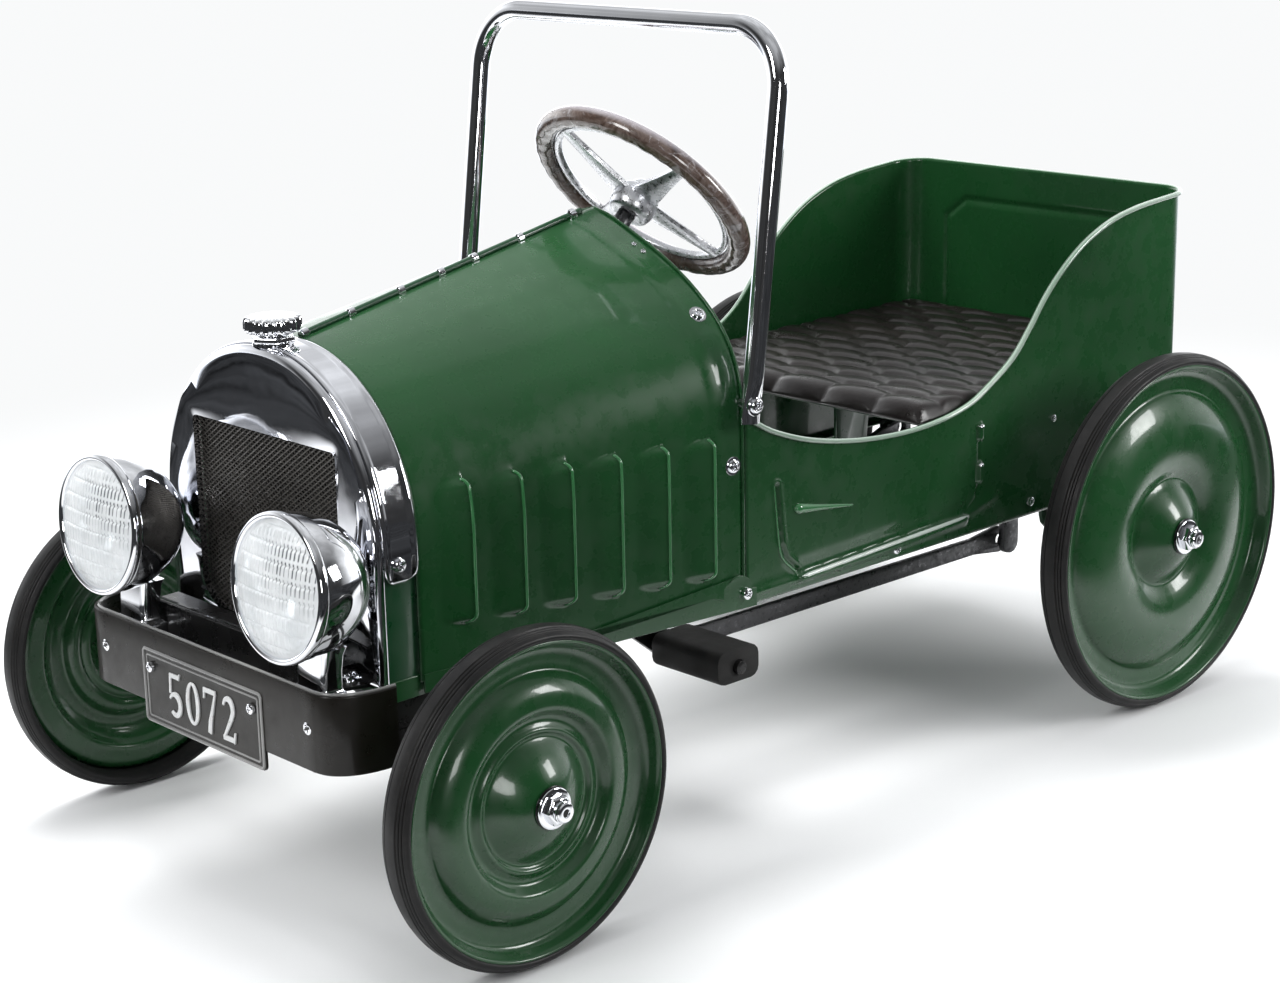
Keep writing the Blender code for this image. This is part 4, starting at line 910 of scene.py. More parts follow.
# the wide band over the arch, with a bead near each edge and round ends
band_pts = by_length([q for q in arch(RAD_W + 0.0001, RAD_TOP + 0.0001, RAD_Z, 0.2120, steps=120)], np.linspace(0, 1, 110))
half_band = [(float(a), float(b)) for a, b in band_pts]
line = half_band + [(-y, z) for y, z in reversed(half_band[:-1])]
run = [0.0]
for a, b in zip(line, line[1:]):
    run.append(run[-1] + math.hypot(b[0] - a[0], b[1] - a[1]))
total = run[-1]
XA, XB = HOOD_X1 - 0.0020, RAD_FRONT - FIL + 0.0006
cols = []
for i, (y, z) in enumerate(line):
    a, b = line[max(i - 1, 0)], line[min(i + 1, len(line) - 1)]
    d = Vector((b[0] - a[0], b[1] - a[1])).normalized()
    n = Vector((d.y, -d.x))
    e = min(run[i], total - run[i])
    rr = (XB - XA) * 0.42
    cut = rr - math.sqrt(max(0.0, rr * rr - max(0.0, rr - e) ** 2))
    x0, x1 = XA + cut, XB - cut * 0.6
    col = []
    for k in range(17):
        f = k / 16
        x = lerp(x0, x1, f)
        g = (x - XA) / (XB - XA)
        h = 0.0006 + 0.0008 * math.exp(-((g - 0.09) / 0.05) ** 2) + 0.0008 * math.exp(-((g - 0.90) / 0.05) ** 2)
        col.append((x, y + n.x * h, z + n.y * h))
    cols.append(col)
band = make("radiator_band", ([q for c in cols for q in c], grid_faces(len(cols), 17)), ROOT, CHROME_FLAT, sharp=55, closed=False)
if band.data.polygons[16 * 110].normal.z < 0:
    band.data.flip_normals()
s = band.modifiers.new("gauge", "SOLIDIFY")
s.thickness, s.offset = 0.0008, -1.0

# grille: expanded metal, its strands twisted out of the sheet
PW, PH = 0.0050, 0.0034
GY, GZ0, GZ1, GX = 0.0760, 0.1615, 0.2895, RAD_FRONT - 0.0042
verts, faces = [], []
nj, ni = int((GZ1 - GZ0) / (PH / 2)), int(2 * GY / (PW / 2))
for i in range(ni):
    for j in range(nj + 1):
        if (i + j) % 2:
            continue
        for dj in (1, -1):
            if not 0 <= j + dj <= nj:
                continue
            y0, z0 = -GY + i * PW / 2, GZ0 + j * PH / 2
            y1, z1 = y0 + PW / 2, z0 + dj * PH / 2
            d = Vector((y1 - y0, z1 - z0)).normalized()
            n = Vector((-d.y, d.x))
            if n.y < 0:
                n = -n
            w = 0.00046
            b = len(verts)
            for (py, pz), tip in (((y0, z0), -1), ((y1, z1), 1)):
                for sy, sx in ((-1, 0.00030), (1, 0.00005), (1, -0.00035), (-1, -0.00015)):
                    verts.append((GX + sx, py + n.x * w * sy + d.x * 0.0002 * tip, pz + n.y * w * sy))
            for k in range(4):
                m = (k + 1) % 4
                faces.append((b + k, b + m, b + 4 + m, b + 4 + k))
            faces += [(b + 3, b + 2, b + 1, b), (b + 4, b + 5, b + 6, b + 7)]
make("grille_expanded_metal", (verts, faces), ROOT, DARK_STEEL, ("grille_mesh",), sharp=20)
# painted shade: a black sheet behind the grille stands in for the shade inside the radiator
shade_sheet = rounded([(-GY, GZ0), (GY, GZ0), (GY, GZ1), (-GY, GZ1)], 0.004, 5)
make("grille_shade_sheet", loft([[(x, y, z) for y, z in shade_sheet] for x in (GX - 0.0052, GX - 0.0044)]), ROOT, BLACK, sharp=40)

# radiator cap: knurled crown on a waisted neck and a six-sided collar
cx, cz = 0.6190, RAD_TOP + 0.0004


def knurl(r, h, a):
    if r > 0.0140 and 0.0070 < h < 0.0158:
        return r - 0.0023 * (0.5 - 0.5 * math.cos(20 * a)) ** 0.7, h
    return r, h


crown = [(0.0100, 0.0062), (0.0135, 0.0064), (0.0162, 0.0072), (0.0173, 0.0080), (0.0176, 0.0090), (0.0176, 0.0140), (0.0172, 0.0150), (0.0163, 0.0157), (0.0139, 0.0160), (0.0105, 0.0163), (0.0060, 0.0167), (0.0, 0.0168)]
neck = [(0.0128, -0.0010), (0.0128, 0.0012), (0.0118, 0.0022), (0.0104, 0.0034), (0.0098, 0.0048), (0.0102, 0.0066), (0.0110, 0.0074)]
hexes = [(0.0, 0.0010), (0.0135, 0.0010), (0.0139, 0.0016), (0.0139, 0.0038), (0.0135, 0.0044), (0.0, 0.0044)]
make("filler_cap", merge(lathe(crown, (cx, 0, cz), (0, 0, 1), 208, shape=knurl), lathe(neck, (cx, 0, cz), (0, 0, 1), 64), lathe(hexes, (cx, 0, cz), (0, 0, 1), 6)),
     ROOT, CHROME, ("radiator_cap",), sharp=32)

# ------------------------------------------------------------------ front frame, bumper, plate
fr = [(0.4600, 0.1000)] + [(x, 0.1000) for x in np.linspace(0.48, 0.6380, 12)] + [(0.6440, 0.0994), (0.6492, 0.0973), (0.6528, 0.0930), (0.6546, 0.0885), (0.6551, 0.0830)]
fr = smooth_line(fr, 3)
fr = fr + [(x, -y) for x, y in reversed(fr)]
low = strip(fr, 0.1200, 0.1400, 0.0028)
top_path = [q for q in fr if q[0] > 0.6548 or abs(q[1]) < 0.0870]
upright = strip([(0.6552, y) for y in np.linspace(0.0868, -0.0868, 30)], 0.1385, 0.1690, 0.0028)
lip_z = 0.1690
ledge = []
for y in np.linspace(0.0868, -0.0868, 30):
    ledge.append([(0.6552 - 0.0006, y, lip_z - 0.0006), (0.6552, y, lip_z), (0.6546, y, lip_z + 0.0007), (0.6420, y, lip_z + 0.0009), (0.6416, y, lip_z), (0.6425, y, lip_z - 0.0008)])
make("front_crossmember", merge(low, upright, loft(ledge)), ROOT, BLACK, ("front_frame",), sharp=40)
tabs = []
for s in (1, -1):
    outline = rounded([(0.5890, 0.1062), (0.6168, 0.1062), (0.6168, 0.1215), (0.5890, 0.1215)], [0.004, 0.004, 0.0, 0.0], 4)
    tabs.append(loft([[(x, s * yy, z) for x, z in outline] for yy in (0.0971, 0.1001)]))
make("axle_tabs", merge(*tabs), ROOT, BLACK, sharp=40)

ends = [(0.6440, 0.1345), (0.6560, 0.1340), (0.6680, 0.1310), (0.6770, 0.1255), (0.6820, 0.1190), (0.6840, 0.1110)]
run_b = smooth_line(ends, 6)
run_b = run_b + [(0.6840, y) for y in np.linspace(0.1050, -0.1050, 40)] + [(x, -y) for x, y in reversed(run_b)]
make("bumper_bar", strip(run_b, 0.1150, 0.1630, 0.0021), ROOT, SATIN, ("bumper",), sharp=40)
# top roll of the bumper in grey, a painted highlight
top_edge = [(x - 0.0008, y * 0.996, 0.1630) for x, y in run_b]
make("bumper_top_roll", sweep(top_edge, 0.0012, seg=10, up=(0, 0, 1)), ROOT, BLACK_PAINTED_HIGHLIGHT)

bolts = [pan_head((0.6842, s * 0.1060, 0.1407), (1, 0, 0), 0.0044, 0.0024, True, 0.4) for s in (1, -1)]
bolts += [pan_head((0.6875, s * 0.0530, 0.1395), (1, 0, 0), 0.0034, 0.0019, False, 0.2) for s in (1, -1)]
make("bumper_screws", merge(*bolts), ROOT, CHROME, sharp=40)

plo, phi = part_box("number_plate")
px0, px1 = plo.x + SX, phi.x + SX
pz0, pz1, pw = plo.z, phi.z, phi.y
base = rounded([(-pw, pz0), (pw, pz0), (pw, pz1), (-pw, pz1)], 0.0035, 6)
inset = 0.0006
small = rounded([(-pw + inset, pz0 + inset), (pw - inset, pz0 + inset), (pw - inset, pz1 - inset), (-pw + inset, pz1 - inset)], 0.0030, 6)
plate = loft([[(px0, y, z) for y, z in base], [(px1 - 0.0012, y, z) for y, z in base], [(px1 - 0.0006, y, z) for y, z in small]])
# raised borders of the plate in grey, a painted highlight
borders = []
for d, r, hgt in ((0.0014, 0.0011, 0.0009), (0.0048, 0.0007, 0.0006)):
    loop = rounded([(-pw + d, pz0 + d), (pw - d, pz0 + d), (pw - d, pz1 - d), (-pw + d, pz1 - d)], max(0.0030 - d * 0.3, 0.001), 6)
    borders.append(sweep([(px1 - 0.0006, y, z) for y, z in loop], r, hgt, seg=10, cyclic=True, up=(1, 0, 0)))
make("plate_base", plate, ROOT, SATIN, ("number_plate",), sharp=40)
make("plate_border", merge(*borders), ROOT, BLACK_PAINTED_HIGHLIGHT, sharp=40)


def ribbon(path, widths, h0, h1):
    """A raised flat stroke on the plate along (u, v) points; u to the reader's right."""
    loops = []
    n = len(path)
    for i in range(n):
        a, b = Vector(path[max(i - 1, 0)]), Vector(path[min(i + 1, n - 1)])
        d = (b - a).normalized()
        m = Vector((-d.y, d.x)) * (widths[i] if isinstance(widths, (list, tuple)) else widths) / 2
        p = Vector(path[i])
        l, r = p + m, p - m
        k = 0.00025
        li, ri = l - m.normalized() * k, r + m.normalized() * k
        loops.append([(h0, l), (h1 - k, l), (h1, li), (h1, ri), (h1 - k, r), (h0, r)])
    return [[(h, q.x, q.y) for h, q in loop] for loop in loops]


def arc(cx, cy, rx, ry, a0, a1, n=20):
    return [(cx + rx * math.cos(math.radians(lerp(a0, a1, k / n))), cy + ry * math.sin(math.radians(lerp(a0, a1, k / n)))) for k in range(n + 1)]


T, H = 0.0036, 0.0130
five = [
    ([(-0.0042, H), (-0.0052, 0.0012)], 0.0020),
    ([(-0.0046, H - 0.0012), (0.0048, H - 0.0012)], 0.0026),
    ([(0.0048, H - 0.0024), (0.0056, H + 0.0010)], 0.0014),
    (arc(-0.0006, -0.0052, 0.0056, 0.0062, 150, -132, 26), [lerp(0.0016, T, min(1, k / 8)) * (1 if k < 18 else lerp(1, 0.55, (k - 18) / 8)) for k in range(27)]),
]
zero = [(arc(0, 0, 0.0053, H - 0.0012, 0, 360, 40), [lerp(0.0018, T, abs(math.cos(math.radians(360 * k / 40))) ** 1.4) for k in range(41)])]
seven = [
    ([(-0.0058, H - 0.0013), (0.0062, H - 0.0013)], 0.0027),
    ([(-0.0056, H), (-0.0062, H - 0.0062)], 0.0016),
    ([(0.0058, H - 0.0016), (0.0022, 0.0010), (-0.0004, -0.0060), (-0.0016, -H)], [0.0016, 0.0026, T, T * 1.1]),
]
two = [
    (arc(0, 0.0060, 0.0048, 0.0058, 165, -20, 18) + [(0.0030, 0.0010), (-0.0014, -0.0056), (-0.0050, -0.0106)],
     [lerp(0.0018, T, min(1, k / 10)) for k in range(19)] + [T * 0.95, 0.0026, 0.0020]),
    ([(-0.0060, -H + 0.0014), (0.0052, -H + 0.0014)], 0.0029),
    ([(0.0048, -H), (0.0062, -H + 0.0060)], 0.0017),
]
digits = []
zc = (pz0 + pz1) / 2
for k, glyph in enumerate((five, zero, seven, two)):
    u0 = -0.0282 + 0.0188 * k
    for n_s, (pth, wid) in enumerate(glyph):
        h0, h1 = px1 - 0.0008, px1 + 0.0004 + 0.00005 * n_s
        loops = ribbon(pth, wid, h0, h1)
        digits.append(loft([[(h, u0 + u, zc - 0.0006 + v * 1.08) for h, u, v in loop] for loop in loops]))
make("plate_digits", merge(*digits), ROOT, WHITE, sharp=30)

# ------------------------------------------------------------------ headlamps
LAMP = (0.6920, 0.0937, 0.2231)
TILT = math.radians(6.0)
ct, st = math.cos(TILT), math.sin(TILT)
for s, side in ((1, "L"), (-1, "R")):
    at = Vector((LAMP[0], s * LAMP[1], LAMP[2]))
    ax = Vector((ct, 0, st))
    outside = smooth_line([(0.0424, -0.0022), (0.0428, -0.0060), (0.0424, -0.0140), (0.0404, -0.0235), (0.0362, -0.0335), (0.0295, -0.0425), (0.0205, -0.0492), (0.0105, -0.0532), (0.0, -0.0546)], 8)
    inside = [(r - 0.0010 if r > 0.001 else 0.0, h + 0.0010) for r, h in reversed(outside)]
    inside[-1] = (outside[0][0] - 0.0010, outside[0][1])
    make("lamp_bowl_" + side, lathe(outside + inside, at, ax, 96, closed=False), ROOT, CHROME, ("headlamp_shell_" + side,))
    bez = smooth_line([(0.0396, 0.0006), (0.0404, 0.0020), (0.0418, 0.0025), (0.0433, 0.0018), (0.0440, 0.0000), (0.0441, -0.0022), (0.0436, -0.0034), (0.0426, -0.0036)], 5)
    bez += [(0.0422, -0.0022), (0.0396, -0.0010)]
    make("lamp_bezel_" + side, lathe(bez, at, ax, 96, closed=True), ROOT, CHROME, ("headlamp_bezel_" + side,))
    refl = smooth_line([(0.0393, -0.0030), (0.0372, -0.0100), (0.0325, -0.0180), (0.0250, -0.0250), (0.0150, -0.0296), (0.0060, -0.0314), (0.0, -0.0318)], 6)
    back = [(r + 0.0006 if r > 0.001 else 0.0, h - 0.0006) for r, h in reversed(refl)]
    make("lamp_reflector_" + side, lathe(refl + back, at, ax, 72), ROOT, REFLECTOR)
    bulb = smooth_line([(0.0, -0.0120), (0.0030, -0.0130), (0.0048, -0.0165), (0.0044, -0.0205), (0.0036, -0.0250), (0.0036, -0.0300)], 5)
    make("lamp_bulb_" + side, lathe(bulb + [(0.0, -0.0300)], at, ax, 32), ROOT, GLASS)
    # ribbed front glass: bands of upright flutes, staggered, with plain bands between
    q = frame_of(ax)
    R = 0.0397
    n_r, seg = 78, 260

    def crown_h(r):
        return 0.0056 * (1 - (r / R) ** 2) ** 0.85 + 0.0004

    uax, vax = Vector((0, 1, 0)), ax.cross(Vector((0, 1, 0)))
    if vax.z < 0:
        vax = -vax
    verts, faces = [], []
    ring_n = [1] + [seg] * (n_r - 1)
    verts.append(tuple(at + ax * (crown_h(0))))
    for i in range(1, n_r):
        r = R * i / (n_r - 1)
        for k in range(seg):
            a = math.tau * k / seg
            u, w = r * math.cos(a), r * math.sin(a)
            b = w / 0.0098 + 0.35
            bi = math.floor(b)
            bf = b - bi
            groove = 1 - math.exp(-((min(bf, 1 - bf)) / 0.07) ** 2)
            pitch = (0.0030, 0.0046, 0.0034, 0.0040)[bi % 4]
            flute = abs(math.sin(math.pi * (u / pitch + 0.5 * (bi % 2))))
            edge = 1 - smoothstep(0.90, 0.965, np.float64(r / R))
            h = crown_h(r) + float(edge) * (0.00085 * flute ** 0.8 * groove - 0.0003 * (1 - groove))
            verts.append(tuple(at + uax * u + vax * w + ax * h))
    for k in range(seg):
        faces.append((0, 1 + k, 1 + (k + 1) % seg))
    for i in range(n_r - 2):
        a, b = 1 + i * seg, 1 + (i + 1) * seg
        for k in range(seg):
            m = (k + 1) % seg
            faces.append((a + k, a + m, b + m, b + k))
    base = len(verts)
    verts.append(tuple(at + ax * 0.0028))
    inner0 = len(verts)
    for i in (1, 2, 3, 4):
        r = (R - 0.0004) * i / 4
        for k in range(seg):
            a = math.tau * k / seg
            verts.append(tuple(at + uax * (r * math.cos(a)) + vax * (r * math.sin(a)) + ax * (crown_h(min(r, R * 0.999)) - 0.0024 * (1 - 0.55 * (i / 4) ** 3))))
    for k in range(seg):
        faces.append((base, inner0 + (k + 1) % seg, inner0 + k))
    for i in range(3):
        a, b = inner0 + i * seg, inner0 + (i + 1) * seg
        for k in range(seg):
            m = (k + 1) % seg
            faces.append((a + m, a + k, b + k, b + m))
    a, b = 1 + (n_r - 2) * seg, inner0 + 3 * seg
    for k in range(seg):
        m = (k + 1) % seg
        faces.append((a + k, a + m, b + m, b + k))
    make("lamp_glass_" + side, (verts, faces), ROOT, GLASS, ("headlamp_lens_" + side,), sharp=60)

    # stalk: a bent strip with turned-back sides, standing on a foot
    y0 = s * 0.0937
    sec = rounded([(0.6600, y0 - 0.0140), (0.6740, y0 - 0.0140), (0.6740, y0 + 0.0140), (0.6600, y0 + 0.0140)], [0.0015, 0.0040, 0.0040, 0.0015], 5)
    loops = []
    for z, grow, lean in ((0.1560, 0.0022, 0.0010), (0.1575, 0.0008, 0.0004), (0.1600, 0.0, 0.0), (0.1700, 0.0, -0.0004), (0.1790, 0.0004, -0.0012), (0.1835, 0.0012, -0.0024)):
        loops.append([(x + (grow if x > 0.667 else -grow) + lean, y + (grow if y > y0 else -grow), z) for x, y in sec])
    stalk = loft(loops)
    c_f = s * 0.0920
    foot = rounded([(0.6562, c_f - 0.0158), (0.6812, c_f - 0.0158), (0.6812, c_f + 0.0158), (0.6562, c_f + 0.0158)], 0.0030, 4)
    loops = [[(x, y, z) for x, y in foot] for z in (0.1245, 0.1545)]
    loops.append([(lerp(0.6687, x, 0.96), lerp(c_f, y, 0.97), 0.1558) for x, y in foot])
    make("lamp_post_" + side, merge(stalk, loft(loops)), ROOT, CHROME, ("lamp_stalk_" + side,), sharp=35)
    # adjusting clamp between bowl and stalk
    make("lamp_swivel_" + side, merge(lathe([(0.0, 0.0030), (0.0045, 0.0028), (0.0062, 0.0010), (0.0062, -0.0100), (0.0, -0.0100)], at - ax * 0.0300 - Vector((0, 0, 0.0305)), (-0.15, 0, -1), 32)),
         ROOT, CHROME)

feet = []
for s in (1, -1):
    o2 = rounded([(0.5990, s * 0.0975), (0.6310, s * 0.0975), (0.6310, s * 0.1062), (0.5990, s * 0.1062)], 0.0015, 3)
    feet.append(loft([[(x, y, z) for x, y in o2] for z in (0.1392, 0.1520)]))
make("core_feet", merge(*feet), ROOT, GREEN, sharp=40, bevel=0.0004)

# bracket and side bolts behind the bumper, at the frame's front corners
for s, side in ((1, "L"), (-1, "R")):
    outl = rounded([(0.6180, s * 0.0960), (0.6530, s * 0.0860), (0.6530, s * 0.0560), (0.6180, s * 0.0660)], 0.004, 4)
    a = loft([[(x, y, z) for x, y in outl] for z in (0.1478, 0.1500)])
    make("frame_gusset_" + side, a, ROOT, BLACK, sharp=30, bevel=0.0004)
    make("gusset_bolt_" + side, pan_head((0.6340, s * 0.0770, 0.1502), (0, 0, 1), 0.0042, 0.0024, True), ROOT, CHROME, sharp=40)

# ------------------------------------------------------------------ windshield
SCREEN_Y, SCREEN_R, TOP, FOOT = 0.1400, 0.0065, 0.5053, 0.2640


def screen_x(z):
    return 0.3284 + (TOP - z) * 0.1296


leg = [(screen_x(z), SCREEN_Y, z) for z in np.linspace(FOOT, TOP - 0.038, 40)]
cr2 = 0.0380
bend = []
for k in range(1, 19):
    a = math.pi / 2 * k / 18
    z = TOP - cr2 + cr2 * math.sin(a)
    bend.append((screen_x(z), SCREEN_Y - cr2 + cr2 * math.cos(a), z))
half = leg + bend
hoop = half + [(screen_x(TOP), y, TOP) for y in np.linspace(0.095, 0.0, 12)[:-1]]
hoop = hoop + [(screen_x(TOP), 0, TOP)] + [(x, -y, z) for x, y, z in reversed(hoop)]
lengths = [0.0]
for a, b in zip(hoop, hoop[1:]):
    lengths.append(lengths[-1] + math.dist(a, b))
total = lengths[-1]
shares = [q / total for q in lengths]


loops = []
for i, p in enumerate(hoop):
    P = Vector(p)
    t = (Vector(hoop[min(i + 1, len(hoop) - 1)]) - Vector(hoop[max(i - 1, 0)])).normalized()
    fwd = Vector((math.cos(math.atan(0.1296)), 0, math.sin(math.atan(0.1296))))
    fwd = (fwd - t * fwd.dot(t)).normalized()
    across = t.cross(fwd).normalized()
    e = min(lengths[i], total - lengths[i])
    wide, flat = SCREEN_R * (1.0 + 0.22 * (1 - float(smoothstep(0.006, 0.030, e)))), SCREEN_R * (0.42 + 0.58 * float(smoothstep(0.004, 0.030, e)))
    loops.append([P + fwd * (wide * math.cos(math.tau * k / 28)) + across * (flat * math.sin(math.tau * k / 28)) for k in range(28)])
make("screen_hoop", loft(loops), ROOT, CHROME, ("windshield_frame",), sharp=60)
for s, side in ((1, "L"), (-1, "R")):
    at = (screen_x(0.2760), s * (SCREEN_Y + SCREEN_R * 0.55), 0.2760)
    stud = lathe([(0.0, 0.0), (0.0038, 0.0), (0.0038, -0.0120), (0.0, -0.0120)], at, (0, s, 0), 24)
    make("screen_bolt_" + side, merge(pan_head(at, (0, s, 0), 0.0050, 0.0030, True, 0.6), stud), ROOT, CHROME, ("windshield_bolt_" + side,), sharp=40)

# ------------------------------------------------------------------ screws in the body
spots = []
for s in (1, -1):
    spots.append(pan_head((0.3575, s * (BODY_Y + 0.0015), 0.1435 + 0.0075), (0, s, 0), 0.0040, 0.0022, False, 0.3))
    spots.append(pan_head((0.2136, s * (BODY_Y + 0.0012), 0.1490), (0, s, 0), 0.0036, 0.0020, False, 0.9))
    spots.append(pan_head((0.0703, s * (BODY_Y + 0.0003), 0.1523), (0, s, 0), 0.0034, 0.0018, False, 0.1))
    spots.append(pan_head((0.0466, s * (BODY_Y + 0.0003), 0.2084), (0, s, 0), 0.0026, 0.0016, False, 0.5))
    for x, y, z, r, turn in ((0.3660, None, 0.2360, 0.0044, 0.7), (0.3690, None, 0.3310, 0.0042, 0.2)):
        p0, n = on_hood(x, y, z)
        spots.append(pan_head((p0.x, s * p0.y, p0.z), (n.x, s * n.y, n.z), r, 0.0024, True, turn))
    for y in (0.0460, 0.0530):
        p0, n = on_hood(0.3670, y=y)
        spots.append(pan_head((p0.x, s * p0.y, p0.z), (n.x, s * n.y, n.z), 0.0018, 0.0012, False, 0.0))
    spots.append(pan_head((0.6165, s * (RAD_W + 0.0010), 0.2230), (0, s, 0), 0.0042, 0.0024, False, 0.4))
make("body_screws", merge(*spots), ROOT, CHROME, sharp=40)

# ------------------------------------------------------------------ steering wheel
a = math.radians(42.6)
up = Vector((-math.cos(a), 0, math.sin(a)))
Wc = Vector((0.3163, 0.0, 0.3900))
e1, e2 = Vector((0, 1, 0)), Vector((math.sin(a), 0, math.cos(a)))
RR, RT = 0.0746, 0.0073
loops = []
for i in range(120):
    t = math.tau * i / 120
    d = e1 * math.cos(t) + e2 * math.sin(t)
    loop = []
    for k in range(24):
        b = math.tau * k / 24
        rad = RT
        # finger scallops on the underside
        under = max(0.0, -math.sin(b)) ** 2
        rad -= 0.0006 * under * (0.5 - 0.5 * math.cos(36 * t))
        loop.append(Wc + d * (RR + rad * math.cos(b)) + up * (rad * math.sin(b)))
    loops.append(loop)
make("wheel_rim_grip", loft(loops, cyclic=True), "steering", MARBLE, ("steering_wheel_rim",), sharp=60)
spokes = []
set_a = math.radians(-27.0)
s1 = e1 * math.cos(set_a) - e2 * math.sin(set_a)
s2 = e1 * math.sin(set_a) + e2 * math.cos(set_a)
for d in (s1, -s1, s2, -s2):
    across = up.cross(d)
    loops = []
    stations = smooth_line([(0.0090, 0.0108, -0.0062), (0.0200, 0.0096, -0.0052), (0.0350, 0.0074, -0.0034), (0.0500, 0.0056, -0.0016), (0.0600, 0.0047, -0.0004), (0.0662, 0.0043, 0.0002)], 5)
    for dist, w, h in stations:
        sec = []
        for x, z in ((-1.0, 0.0), (-0.92, 0.0010), (-0.72, 0.0013), (-0.45, 0.0002), (-0.20, -0.0007), (0.0, -0.0009), (0.20, -0.0007), (0.45, 0.0002), (0.72, 0.0013), (0.92, 0.0010), (1.0, 0.0), (0.9, -0.0022), (0.4, -0.0030), (-0.4, -0.0030), (-0.9, -0.0022)):
            sec.append(Wc + d * dist + across * (x * w) + up * (h + z))
        loops.append(sec)
    spokes.append(loft(loops))
hub = lathe(smooth_line([(0.0062, 0.0008), (0.0092, 0.0010), (0.0128, -0.0006), (0.0150, -0.0040), (0.0158, -0.0090), (0.0150, -0.0150), (0.0122, -0.0188), (0.0062, -0.0190)], 5), Wc, up, 72, closed=True)
inner_ring = lathe(rounded([(0.0628, -0.0024), (0.0668, -0.0024), (0.0668, 0.0024), (0.0628, 0.0024)], 0.0011, 3), Wc, up, 120, closed=True)
make("wheel_spider_cast", merge(hub, inner_ring, *spokes), "steering", ALLOY, ("steering_wheel_spider",), sharp=40)
nut_prof = smooth_line([(0.0, 0.0082), (0.0030, 0.0079), (0.0060, 0.0066), (0.0082, 0.0042), (0.0092, 0.0016), (0.0094, -0.0006), (0.0090, -0.0014)], 5) + [(0.0, -0.0014)]
make("wheel_hub_cap", lathe(nut_prof, Wc, up, 64), "steering", CHROME, ("steering_wheel_nut",))
# collar and ferrule where the column passes the dash
col_z = 0.390 - (0.3608 - Wc.x) * math.tan(a)
make("column_grommet", lathe(rounded([(0.0072, -0.0030), (0.0148, -0.0030), (0.0148, 0.0024), (0.0072, 0.0024)], 0.0016, 4), (0.3608, 0, col_z), up, 48, closed=True), ROOT, PAD, sharp=40)

# ------------------------------------------------------------------ wheels
FRONT_LINE = [(0.0064, 0.0090), (0.0100, 0.0089), (0.0145, 0.0080), (0.0200, 0.0058), (0.0260, 0.0024), (0.0310, -0.0012), (0.0350, -0.0041), (0.0374, -0.0054), (0.0392, -0.0050),
              (0.0408, -0.0038), (0.0424, -0.0036), (0.0444, -0.0048), (0.0472, -0.0058), (0.0500, -0.0050), (0.0522, -0.0026), (0.0540, -0.0006), (0.0562, 0.0002), (0.0600, -0.0001),
              (0.0650, -0.0013), (0.0700, -0.0042), (0.0732, -0.0075), (0.0750, -0.0094), (0.0772, -0.0098), (0.0810, -0.0096), (0.0862, -0.0092), (0.0890, -0.0074), (0.0906, -0.0042), (0.0916, -0.0016),
              (0.0926, -0.0001), (0.0936, 0.0003), (0.0944, -0.0002)]
REAR_LINE = [(0.0064, 0.0090), (0.0100, 0.0089), (0.0145, 0.0078), (0.0200, 0.0052), (0.0260, 0.0014), (0.0315, -0.0026), (0.0350, -0.0052), (0.0378, -0.0068), (0.0396, -0.0068),
             (0.0420, -0.0056), (0.0470, -0.0028), (0.0540, -0.0006), (0.0620, 0.0004), (0.0700, 0.0001), (0.0790, -0.0013), (0.0870, -0.0036), (0.0940, -0.0066), (0.0980, -0.0090), (0.1000, -0.0106),
             (0.1022, -0.0112), (0.1060, -0.0110), (0.1110, -0.0106), (0.1144, -0.0088), (0.1162, -0.0050), (0.1174, -0.0018), (0.1185, -0.0001), (0.1196, 0.0004), (0.1204, -0.0001)]
